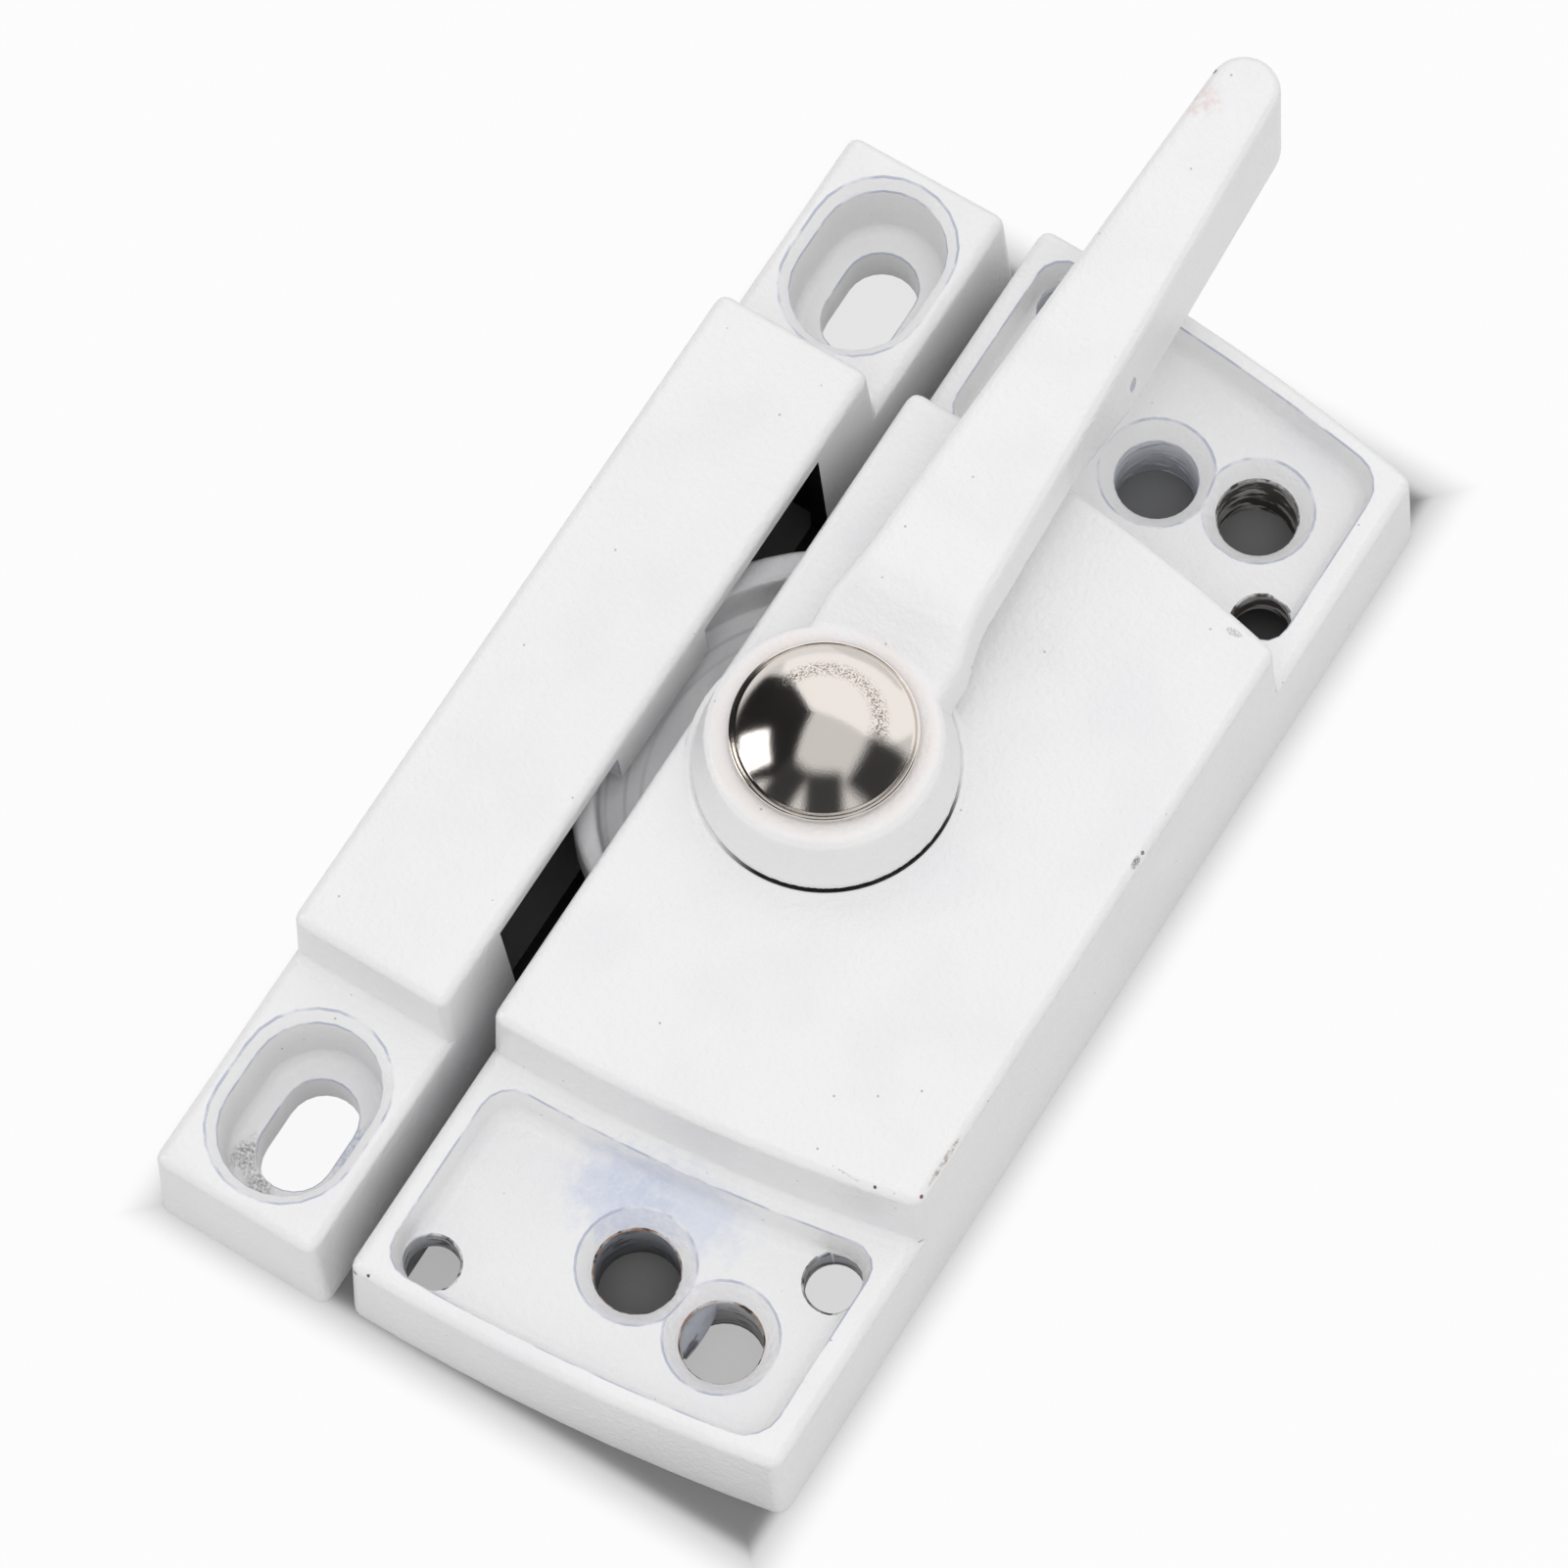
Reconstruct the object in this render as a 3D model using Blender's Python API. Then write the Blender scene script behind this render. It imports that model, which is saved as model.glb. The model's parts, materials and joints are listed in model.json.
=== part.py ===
"""Sweep lock for a sliding window, with its keeper, in metres and +Z up.

Every piece is drawn about the spindle: X runs along the lock, Y points to the keeper, and Z = 0 is
the face that lies on the sash. One empty then carries the whole set, so that the world origin is
under the middle of its box.
"""
import math
from collections import namedtuple

import bmesh
import bpy

# Lock housing
HOUSING_LENGTH = 0.0751
HOUSING_WIDTH = 0.0273
HOUSING_END_BOW = 0.0027
SPINDLE_TO_KEEPER_SIDE = 0.00872
BASE_HEIGHT = 0.00815
PLATFORM_LENGTH = 0.0444
PLATFORM_HEIGHT = 0.0141
PLATFORM_END_BOW = 0.0031
DRAFT_SLOPE = 0.05
EDGE_RADIUS = 0.0007
WALL = 0.0018
ROOF = 0.0019

# Screw pans in the housing, with the two screw holes and two vents of each
PAN_DEPTH = 0.00275
PAN_END_RIM = 0.0011
PAN_NEAR_RIM = 0.0013
PAN_FAR_RIM = 0.0015
PAN_FOOT_RIM = 0.0011
PAN_CORNER_RADIUS = 0.0018
PAN_FLOOR_RADIUS = 0.0009
PAN_PLATE = 0.002
PAN_WALL_SLOPE = 0.12
INNER_SCREW_SPACING = 0.0563
INNER_SCREW_BACK = 0.01354
INNER_SCREW_BORE = 0.0049
INNER_SINK = 0.00686
OUTER_SCREW_SPACING = 0.0583
OUTER_SCREW_BACK = 0.01977
OUTER_SCREW_BORE = 0.0047
OUTER_SINK = 0.0066
SINK_DEPTH = 0.0011
BOSS_WALL = 0.0015
NEAR_VENT_INSET = 0.002
NEAR_VENT_BORE = 0.0032
FAR_VENT_INSET = 0.0019
FAR_VENT_BORE = 0.0034
RIB = 0.0012
RIB_LIFT = 0.0008

# Bearing of the spindle in the housing
SEAT_RING_DIAMETER = 0.0155
SEAT_RING_HEIGHT = 0.0003
SEAT_RECESS_DEPTH = 0.0004
BEARING_BOSS_WALL = 0.0018
BEARING_DROP = 0.003
BUSH_WALL = 0.0008
SEAT_GAP = 0.0003
RUNNING_GAP = 0.0003

# Spindle and what it clamps
SPINDLE_DIAMETER = 0.0056
SPINDLE_SQUARE = 0.005
SPINDLE_CORNER = 0.0005
SPINDLE_FLATS = 0.0044
SPINDLE_HEAD_DIAMETER = 0.0092
SPINDLE_HEAD_THICKNESS = 0.0011
SPINDLE_TAP_DIAMETER = 0.0036
SPINDLE_TAP_DEPTH = 0.0044
SCREW_DIAMETER = 0.003
SCREW_HEAD_DIAMETER = 0.0062
SCREW_HEAD_THICKNESS = 0.0012
SCREW_HEAD_RADIUS = 0.0004
SCREW_SLOT_WIDTH = 0.0009
SCREW_SLOT_DEPTH = 0.0006
SCREW_WASHER_DIAMETER = 0.0078
SCREW_WASHER_THICKNESS = 0.0005
HUB_WASHER_DIAMETER = 0.013
HUB_WASHER_THICKNESS = 0.0004
WAVE_WASHER_DIAMETER = 0.0116
WAVE_WASHER_THICKNESS = 0.00025
WAVE_HEIGHT = 0.0001
WAVE_COUNT = 3

# Handle lever
LEVER_REACH = 0.0475
HUB_FOOT_DIAMETER = 0.015
HUB_TOP_DIAMETER = 0.0136
HUB_FOOT_BAND = 0.0004
HUB_HEIGHT = 0.0045
HUB_EDGE_RADIUS = 0.0008
HUB_FLOOR = 0.0019
CAP_RECESS_DIAMETER = 0.0094
ARM_ROOT_WIDTH = 0.0083
ARM_ROOT_INSIDE_HUB = 0.0025
ARM_TIP_RADIUS = 0.0024
ARM_ROOT_TOP = 0.0058
ARM_TIP_RISE = 0.0011
ARM_RAMP_LENGTH = 0.004
ARM_EDGE_RADIUS = 0.0008
ARM_FLARE = 0.0005
ARM_FLARE_LENGTH = 0.0035
ARM_ROOT_DROP = 0.0015
ARM_UNDER_CLEARANCE = 0.0031
GRIP_DROP = 0.0038
GRIP_START = 0.0285
GRIP_RAMP_LENGTH = 0.008

# Hub cap
CAP_RIM_DIAMETER = 0.0107
CAP_RIM_THICKNESS = 0.00035
CAP_DOME_DIAMETER = 0.0099
CAP_DOME_STEP = 0.0002
CAP_DOME_RISE = 0.0018
CAP_WALL = 0.0005
CAP_SKIRT_DEPTH = 0.0016

# Cam
CAM_HALF_ANGLE = math.radians(62)
CAM_NOSE_ANGLE = math.radians(18)
CAM_NOSE_CUT = 0.0005
CAM_RADIUS = 0.0146
CAM_RIM = 0.0014
CAM_RIM_HEIGHT = 0.0028
CAM_RIM_CHAMFER = 0.0003
CAM_PULL = 0.0004
CAM_DISC_DIAMETER = 0.019
CAM_DISC_THICKNESS = 0.0016
CAM_WEB_STEP = 0.0002
CAM_HUB_DIAMETER = 0.0116
CAM_HUB_DROP = 0.002
CAM_CLEARANCE = 0.0006
WAVE_WASHER_SPACE = 0.001
STOP_HALF_ANGLE = math.radians(26)

# Detent leaf and its rivets
DETENT_WIDTH = 0.004
DETENT_THICKNESS = 0.00035
DETENT_GAP = 0.0005
DETENT_BUMP_DIAMETER = 0.002
DETENT_BUMP_HEIGHT = 0.0002
DETENT_SEAT_DEPTH = 0.0032
DETENT_SEAT_THICKNESS = 0.0037
RIVET_DIAMETER = 0.0012
RIVET_HEAD_DIAMETER = 0.002
RIVET_HEAD_THICKNESS = 0.0003
RIVET_SPACING = 0.0052
RIVET_LENGTH = 0.003

# Keeper
KEEPER_LENGTH = 0.0749
KEEPER_WIDTH = 0.01144
KEEPER_FLANGE_HEIGHT = 0.00845
KEEPER_HEIGHT = 0.0139
KEEPER_BLOCK_LENGTH = 0.0449
KEEPER_GAP = 0.00123
KEEPER_OFFSET = -0.0007
SLOT_SPACING = 0.0603
SLOT_LENGTH = 0.007
SLOT_WIDTH = 0.0045
SLOT_RIM_LENGTH = 0.0119
SLOT_RIM_WIDTH = 0.009
SLOT_CHAMFER = 0.00065
SLOT_FLOOR = 0.003
SLOT_WALL_SLOPE = 0.03
MOUTH_LENGTH = 0.0334
MOUTH_SILL = 0.002
MOUTH_BROW = 0.0014
KEEPER_WALL = 0.0014
KEEPER_ROOF = 0.0012
LIP_LENGTH = 0.0093
LIP_DROP = 0.0028

# How far cutters run past what they cut, and how finely round forms are cut
OVERRUN = 0.001
TURN_STEPS = 32
FINE_TURN_STEPS = 48
CORNER_STEPS = 3
BOW_STEPS = 8
CAM_STEPS = 20

# Places that follow from the sizes above
KEEPER_SIDE = SPINDLE_TO_KEEPER_SIDE
FAR_SIDE = KEEPER_SIDE - HOUSING_WIDTH
BASE_LEAN = DRAFT_SLOPE * BASE_HEIGHT
PAN_FLOOR = BASE_HEIGHT - PAN_DEPTH
PAN_CEILING = PAN_FLOOR - PAN_PLATE
CAM_HOLLOW_TOP = PLATFORM_HEIGHT - ROOF
CAM_HOLLOW_HALF = PLATFORM_LENGTH / 2 - PLATFORM_END_BOW - WALL
BEARING_BOTTOM = CAM_HOLLOW_TOP - BEARING_DROP
SEAT_FLOOR = PLATFORM_HEIGHT - SEAT_RECESS_DEPTH
HUB_BOTTOM = PLATFORM_HEIGHT + SEAT_RING_HEIGHT + RUNNING_GAP
HUB_TOP = HUB_BOTTOM + HUB_HEIGHT
HUB_WEB_TOP = HUB_BOTTOM + HUB_FLOOR
CAM_TOP = BEARING_BOTTOM - WAVE_WASHER_SPACE
CAM_BOTTOM = CAM_TOP - CAM_DISC_THICKNESS
CAM_HUB_BOTTOM = CAM_BOTTOM - CAM_HUB_DROP
CAM_RIM_TOP = CAM_TOP + CAM_RIM_HEIGHT
CAM_SWEEP_RADIUS = CAM_RADIUS + CAM_CLEARANCE
SPINDLE_RADIUS = SPINDLE_DIAMETER / 2
BUSH_BORE_RADIUS = SPINDLE_RADIUS + RUNNING_GAP
BUSH_RADIUS = BUSH_BORE_RADIUS + BUSH_WALL
BEARING_RADIUS = BUSH_RADIUS + SEAT_GAP
DETENT_TOP = CAM_BOTTOM - DETENT_GAP
DETENT_BOTTOM = DETENT_TOP - DETENT_THICKNESS
DETENT_SEAT = DETENT_BOTTOM - SEAT_GAP
RIVET_Y = FAR_SIDE + WALL + DETENT_SEAT_DEPTH / 2
KEEPER_FRONT = KEEPER_SIDE + KEEPER_GAP
KEEPER_BACK = KEEPER_FRONT + KEEPER_WIDTH
QUARTER = math.pi / 2

Finish = namedtuple("Finish", "name colour roughness metallic")
POWDER_COAT = Finish("white_powder_coat", (0.86, 0.86, 0.86), 0.4, 0.0)
NICKEL = Finish("nickel_plate", (0.72, 0.69, 0.64), 0.15, 1.0)
STEEL = Finish("zinc_plated_steel", (0.55, 0.55, 0.56), 0.35, 1.0)
SPRING_STEEL = Finish("spring_steel", (0.3, 0.3, 0.32), 0.4, 1.0)
NYLON = Finish("black_nylon", (0.03, 0.03, 0.03), 0.5, 0.0)


def remove_all_objects():
    """Empty the scene that the script runs in."""
    for old in list(bpy.data.objects):
        bpy.data.objects.remove(old, do_unlink=True)


def make_material(name, finish):
    """A Principled BSDF with the finish's colour, roughness and metallic value."""
    material = bpy.data.materials.new(f"{name}_{finish.name}")
    material.use_nodes = True
    shader = material.node_tree.nodes["Principled BSDF"]
    shader.inputs["Base Color"].default_value = (*finish.colour, 1.0)
    shader.inputs["Roughness"].default_value = finish.roughness
    shader.inputs["Metallic"].default_value = finish.metallic
    return material


def make_empty(name):
    """An empty that carries pieces."""
    empty = bpy.data.objects.new(name, None)
    bpy.context.scene.collection.objects.link(empty)
    return empty


def make_piece(name, solid, parent, finish=None, place=(0, 0, 0)):
    """Turn a bmesh into a smooth-shaded object at its place under its parent."""
    bmesh.ops.recalc_face_normals(solid, faces=solid.faces)
    mesh = bpy.data.meshes.new(name)
    solid.to_mesh(mesh)
    solid.free()
    mesh.shade_smooth()
    mesh.set_sharp_from_angle(angle=math.radians(35))
    piece = bpy.data.objects.new(name, mesh)
    bpy.context.scene.collection.objects.link(piece)
    piece.parent = parent
    piece.location = place
    if finish:
        mesh.materials.append(make_material(name, finish))
    return piece


def combine(piece, name, solid, operation, place=(0, 0, 0)):
    """Cut a helper solid out of a piece, or join it on; the helper stays hidden.

    Helpers of one kind that follow each other share one modifier, so that they are worked out together.
    """
    helper = make_piece(f"{piece.name}_{name}", solid, piece, place=place)
    helper.hide_render = True
    helper.display_type = "WIRE"
    last = piece.modifiers[-1] if piece.modifiers else None
    if last is None or last.operation != operation:
        last = piece.modifiers.new(operation.lower(), "BOOLEAN")
        last.operation = operation
        last.solver = "EXACT"
        last.operand_type = "COLLECTION"
        last.collection = bpy.data.collections.new(f"{piece.name}_{operation.lower()}")
    last.collection.objects.link(helper)
    return helper


def cut(piece, name, solid, place=(0, 0, 0)):
    """Take a helper solid away from a piece."""
    return combine(piece, name, solid, "DIFFERENCE", place)


def join(piece, name, solid, place=(0, 0, 0)):
    """Grow a piece by a helper solid."""
    return combine(piece, name, solid, "UNION", place)


def loft(rings):
    """Skin rings of equal length and close both ends."""
    solid = bmesh.new()
    rows = [[solid.verts.new(point) for point in ring] for ring in rings]
    for low, high in zip(rows, rows[1:]):
        for index, corner in enumerate(low):
            following = (index + 1) % len(low)
            solid.faces.new((corner, low[following], high[following], high[index]))
    solid.faces.new(rows[0][::-1])
    solid.faces.new(rows[-1])
    return solid


def prism(outline, bottom, top):
    """An outline in X and Y raised from one height to another."""
    return loft([[(x, y, height) for x, y in outline] for height in (bottom, top)])


def box(x_low, x_high, y_low, y_high, z_low, z_high):
    """A square-edged block between six planes."""
    return prism(((x_low, y_low), (x_high, y_low), (x_high, y_high), (x_low, y_high)), z_low, z_high)


def turned(profile, steps=TURN_STEPS):
    """Turn a closed profile of (radius, height) points about Z; a flat end on the axis is one face."""
    solid = bmesh.new()
    angles = [math.tau * step / steps for step in range(steps)]
    rows = []
    for radius, height in profile:
        around = angles if radius > 0 else angles[:1]
        rows.append([solid.verts.new((radius * math.cos(a), radius * math.sin(a), height)) for a in around])
    for first, second in zip(rows, rows[1:] + rows[:1]):
        for step in range(steps):
            following = (step + 1) % steps
            corners = (first[step % len(first)], first[following % len(first)],
                       second[following % len(second)], second[step % len(second)])
            distinct = list(dict.fromkeys(corners))
            if len(distinct) > 2:
                solid.faces.new(distinct)
    poles = [row[0] for row in rows if len(row) == 1]
    bmesh.ops.dissolve_verts(solid, verts=[
        pole for pole in poles if all(edge.other_vert(pole).co.z == pole.co.z for edge in pole.link_edges)])
    return solid


def cylinder(radius, bottom, top, steps=TURN_STEPS):
    """A plain round bar."""
    return turned(((0, bottom), (radius, bottom), (radius, top), (0, top)), steps)


def arc(centre_x, centre_y, radius, start, end, steps):
    """Points along an arc, both ends included."""
    turns = (start + (end - start) * step / steps for step in range(steps + 1))
    return [(centre_x + radius * math.cos(a), centre_y + radius * math.sin(a)) for a in turns]


def obround(length, width):
    """A slot outline with round ends, along X."""
    radius = width / 2
    straight = length / 2 - radius
    steps = FINE_TURN_STEPS // 4
    return (arc(straight, 0, radius, -QUARTER, QUARTER, steps)
            + arc(-straight, 0, radius, QUARTER, QUARTER * 3, steps))


def rounded_rectangle(length, width, radius):
    """A rectangle about the origin with round corners."""
    x, y = length / 2 - radius, width / 2 - radius
    corners = ((x, -y, -QUARTER), (x, y, 0), (-x, y, QUARTER), (-x, -y, QUARTER * 2))
    return [point for centre_x, centre_y, start in corners
            for point in arc(centre_x, centre_y, radius, start, start + QUARTER, CORNER_STEPS)]


def double_flat(radius, half_flats):
    """A circle with two flats across Y."""
    reach = math.asin(half_flats / radius)
    steps = CORNER_STEPS * 2
    return (arc(0, 0, radius, -reach, reach, steps)
            + arc(0, 0, radius, math.pi - reach, math.pi + reach, steps))


def bow_at(y, bow):
    """How far a bowed end of the housing has swept in at y: an arc square to the keeper side."""
    radius = (HOUSING_WIDTH ** 2 + bow ** 2) / (2 * bow)
    reach = min(max(KEEPER_SIDE - y, 0), HOUSING_WIDTH)
    return radius - math.sqrt(radius ** 2 - reach ** 2)


def soften(solid, radius, steps, chosen):
    """Round the edges that turn by over a third of a right angle and that are chosen by a test."""
    creases = [edge for edge in solid.edges
               if len(edge.link_faces) == 2 and edge.calc_face_angle() > QUARTER / 3 and chosen(edge)]
    bmesh.ops.bevel(solid, geom=creases, offset=radius, offset_type="OFFSET", affect="EDGES",
                    segments=steps, profile=0.5, clamp_overlap=True)


def top_of(edge):
    """Height of the higher end of an edge."""
    return max(corner.co.z for corner in edge.verts)


def bottom_of(edge):
    """Height of the lower end of an edge."""
    return min(corner.co.z for corner in edge.verts)


def stepped_casting(length, block_length, front, back, flange, height, end_bow=0, block_bow=0):
    """A low bar with a raised middle block, drafted walls, and all but its bottom edges rounded.

    The long walls run flush from the bar up the block. The ends of the bar and of the block may
    bow, as the lock housing's do.
    """
    stations = BOW_STEPS if end_bow else 1
    rings = []
    for station in range(stations + 1):
        share = station / stations
        y = back + (front - back) * share
        end = length / 2 - (bow_at(y, end_bow) if end_bow else 0)
        block = block_length / 2 - (bow_at(y, block_bow) if block_bow else 0)
        half = ((end, 0), (end - DRAFT_SLOPE * flange, flange),
                (block + DRAFT_SLOPE * (height - flange), flange), (block, height))
        profile = [(-x, z) for x, z in half] + [(x, z) for x, z in reversed(half)]
        rings.append([(x, y + DRAFT_SLOPE * z * (2 * share - 1), z) for x, z in profile])
    solid = loft(rings)
    bmesh.ops.recalc_face_normals(solid, faces=solid.faces)
    soften(solid, EDGE_RADIUS, CORNER_STEPS, lambda edge: top_of(edge) > 0)
    return solid


def pan_sides(inset):
    """Near and far side of the screw pans in Y, inset from the rim."""
    return KEEPER_SIDE - BASE_LEAN - PAN_NEAR_RIM - inset, FAR_SIDE + BASE_LEAN + PAN_FAR_RIM + inset


def pan_outer(y, inset):
    """How far out the bowed outer side of a pan lies at y, inset from the rim."""
    return HOUSING_LENGTH / 2 - BASE_LEAN - PAN_END_RIM - inset - bow_at(y, HOUSING_END_BOW)


def pan_foot(y, inset):
    """How far out the bowed side of a pan along the platform's foot lies at y, inset from the rim."""
    foot = PLATFORM_LENGTH / 2 + DRAFT_SLOPE * (PLATFORM_HEIGHT - BASE_HEIGHT)
    return foot + PAN_FOOT_RIM + inset - bow_at(y, PLATFORM_END_BOW)


def pan_outline(end, inset):
    """Outline of the screw pan of one end (1 or -1), inset from its rim."""
    near, far = pan_sides(inset)
    ys = [near + (far - near) * step / BOW_STEPS for step in range(BOW_STEPS + 1)]
    outer_side = [(end * pan_outer(y, inset), y) for y in ys]
    inner_side = [(end * pan_foot(y, inset), y) for y in reversed(ys)]
    return outer_side + inner_side


def pan_cutter(end):
    """The pan's hollow: leaning walls, round corners and a soft edge round the floor."""
    top = BASE_HEIGHT + OVERRUN
    layers = ((PAN_FLOOR, PAN_WALL_SLOPE * PAN_DEPTH), (top, -PAN_WALL_SLOPE * OVERRUN))
    solid = loft([[(x, y, z) for x, y in pan_outline(end, inset)] for z, inset in layers])
    bmesh.ops.recalc_face_normals(solid, faces=solid.faces)
    middle = (PAN_FLOOR + top) / 2
    soften(solid, PAN_CORNER_RADIUS, CORNER_STEPS + 1, lambda edge: top_of(edge) > middle > bottom_of(edge))
    soften(solid, PAN_FLOOR_RADIUS, CORNER_STEPS, lambda edge: top_of(edge) < middle)
    return solid


def screw_cutter(bore_radius, sink_radius):
    """A countersunk screw hole from above the pan floor to below the housing."""
    slope = (sink_radius - bore_radius) / SINK_DEPTH
    return turned(((0, -OVERRUN), (bore_radius, -OVERRUN), (bore_radius, PAN_FLOOR - SINK_DEPTH),
                   (sink_radius + slope * OVERRUN, PAN_FLOOR + OVERRUN), (0, PAN_FLOOR + OVERRUN)))


def cut_screw_pan(housing, end, tag):
    """One end of the housing: pan above, hollow with bosses and a rib below, screw holes and vents."""
    screws = ((INNER_SCREW_SPACING, INNER_SCREW_BACK, INNER_SCREW_BORE / 2, INNER_SINK / 2),
              (OUTER_SCREW_SPACING, OUTER_SCREW_BACK, OUTER_SCREW_BORE / 2, OUTER_SINK / 2))
    near_vent, far_vent = pan_sides(NEAR_VENT_INSET)[0], pan_sides(FAR_VENT_INSET)[1]
    vents = ((pan_outer(near_vent, NEAR_VENT_INSET), near_vent, NEAR_VENT_BORE / 2),
             (pan_foot(far_vent, FAR_VENT_INSET), far_vent, FAR_VENT_BORE / 2))
    cut(housing, f"{tag}_pan", pan_cutter(end))

    near, far = KEEPER_SIDE - WALL, FAR_SIDE + WALL
    inner = CAM_HOLLOW_HALF + WALL
    ys = [near + (far - near) * step / BOW_STEPS for step in range(BOW_STEPS + 1)]
    outline = [(end * (HOUSING_LENGTH / 2 - WALL - bow_at(y, HOUSING_END_BOW)), y) for y in ys]
    outline += [(end * inner, far), (end * inner, near)]
    hollow = cut(housing, f"{tag}_hollow", prism(outline, -OVERRUN, PAN_CEILING))
    for index, (spacing, back, bore, sink) in enumerate(screws, start=1):
        cut(hollow, f"boss_{index}", cylinder(bore + BOSS_WALL, -OVERRUN * 2, PAN_CEILING + OVERRUN),
            (end * spacing / 2, KEEPER_SIDE - back, 0))
    rib_y = KEEPER_SIDE - INNER_SCREW_BACK
    low, high = sorted((end * (inner - OVERRUN), end * HOUSING_LENGTH / 2))
    cut(hollow, "rib", box(low, high, rib_y - RIB / 2, rib_y + RIB / 2, RIB_LIFT, PAN_CEILING + OVERRUN))

    for index, (spacing, back, bore, sink) in enumerate(screws, start=1):
        cut(housing, f"{tag}_screw_{index}", screw_cutter(bore, sink), (end * spacing / 2, KEEPER_SIDE - back, 0))
    for index, (x, y, bore) in enumerate(vents, start=1):
        cut(housing, f"{tag}_vent_{index}", cylinder(bore, -OVERRUN, PAN_FLOOR + PAN_FLOOR_RADIUS / 2),
            (end * x, y, 0))


def stop_lug():
    """The lug in the cam hollow that one end of the cam meets locked and the other end open."""
    inner, outer = CAM_DISC_DIAMETER / 2 + CAM_CLEARANCE, CAM_SWEEP_RADIUS
    side, flank_x = outer * math.sin(STOP_HALF_ANGLE), -outer * math.cos(STOP_HALF_ANGLE)
    wall = -CAM_HOLLOW_HALF - OVERRUN
    outline = arc(0, 0, inner, math.pi - STOP_HALF_ANGLE, math.pi + STOP_HALF_ANGLE, CORNER_STEPS * 2)
    outline += [(flank_x, -side), (wall, -side), (wall, side), (flank_x, side)]
    return prism(outline, CAM_BOTTOM - CAM_WEB_STEP, CAM_HOLLOW_TOP + OVERRUN)


def build_housing(parent):
    """The lock housing: one casting with pans, cam hollow, slot, bearing, stop lug and shelf."""
    housing = make_piece("lock_housing", stepped_casting(
        HOUSING_LENGTH, PLATFORM_LENGTH, FAR_SIDE, KEEPER_SIDE, BASE_HEIGHT, PLATFORM_HEIGHT,
        HOUSING_END_BOW, PLATFORM_END_BOW), parent, POWDER_COAT)
    ring = SEAT_RING_DIAMETER / 2
    ring_top = PLATFORM_HEIGHT + SEAT_RING_HEIGHT
    join(housing, "seat_ring", turned(((0, SEAT_FLOOR), (ring + SEAT_RING_HEIGHT, SEAT_FLOOR),
                                       (ring + SEAT_RING_HEIGHT, PLATFORM_HEIGHT), (ring, ring_top),
                                       (0, ring_top)), FINE_TURN_STEPS))
    for end, tag in ((-1, "left"), (1, "right")):
        cut_screw_pan(housing, end, tag)

    near, far = KEEPER_SIDE - WALL, FAR_SIDE + WALL
    outline = rounded_rectangle(CAM_HOLLOW_HALF * 2, near - far, PAN_CORNER_RADIUS)
    hollow = cut(housing, "cam_hollow", prism(outline, -OVERRUN, CAM_HOLLOW_TOP), (0, (near + far) / 2, 0))
    centre = (0, -(near + far) / 2, 0)
    cut(hollow, "bearing_boss", cylinder(BEARING_RADIUS + BEARING_BOSS_WALL, BEARING_BOTTOM,
                                         CAM_HOLLOW_TOP + OVERRUN), centre)
    cut(hollow, "stop_lug", stop_lug(), centre)
    shelf = RIVET_SPACING / 2 + RIVET_HEAD_DIAMETER
    cut(hollow, "detent_shelf", box(-shelf, shelf, far - OVERRUN, far + DETENT_SEAT_DEPTH,
                                    DETENT_SEAT - DETENT_SEAT_THICKNESS, DETENT_SEAT), centre)

    mouth = math.sqrt(CAM_SWEEP_RADIUS ** 2 - near ** 2)
    cut(housing, "cam_slot", box(-mouth, mouth, near - OVERRUN, KEEPER_SIDE + OVERRUN,
                                 CAM_BOTTOM - CAM_CLEARANCE, CAM_RIM_TOP + CAM_CLEARANCE))
    recess = HUB_WASHER_DIAMETER / 2 + SEAT_GAP
    cut(housing, "bearing_bore", turned(
        ((0, BEARING_BOTTOM - OVERRUN), (BEARING_RADIUS, BEARING_BOTTOM - OVERRUN), (BEARING_RADIUS, SEAT_FLOOR),
         (recess, SEAT_FLOOR), (recess, ring_top + OVERRUN), (0, ring_top + OVERRUN)), FINE_TURN_STEPS))
    for index, side in enumerate((-1, 1), start=1):
        cut(housing, f"rivet_hole_{index}", cylinder(RIVET_DIAMETER / 2 + SEAT_GAP, DETENT_SEAT - RIVET_LENGTH,
                                                     DETENT_SEAT + OVERRUN, TURN_STEPS // 2),
            (side * RIVET_SPACING / 2, RIVET_Y, 0))


def arm_top(x):
    """Height of the arm's top: level with the hub, then a short ramp, then a slow rise."""
    start = HUB_TOP_DIAMETER / 2 - HUB_EDGE_RADIUS
    if x <= start:
        return HUB_TOP - HUB_EDGE_RADIUS / 4
    ramp = min((x - start) / ARM_RAMP_LENGTH, 1)
    eased = ramp * ramp * (3 - 2 * ramp)
    level = HUB_BOTTOM + ARM_ROOT_TOP + ARM_TIP_RISE * (x - start) / (LEVER_REACH - start)
    return HUB_TOP + (level - HUB_TOP) * eased


def root_flare(x):
    """1 where the arm leaves the hub, falling to 0 over the flare's length."""
    return max(1 - max(x - HUB_FOOT_DIAMETER / 2, 0) / ARM_FLARE_LENGTH, 0) ** 2


def arm_underside(x):
    """Height of the arm's underside: low at the hub, clear of the platform, then the thumb grip."""
    grip = min(max((x - GRIP_START) / GRIP_RAMP_LENGTH + 1, 0), 1)
    return PLATFORM_HEIGHT + ARM_UNDER_CLEARANCE - GRIP_DROP * grip - ARM_ROOT_DROP * root_flare(x)


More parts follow.
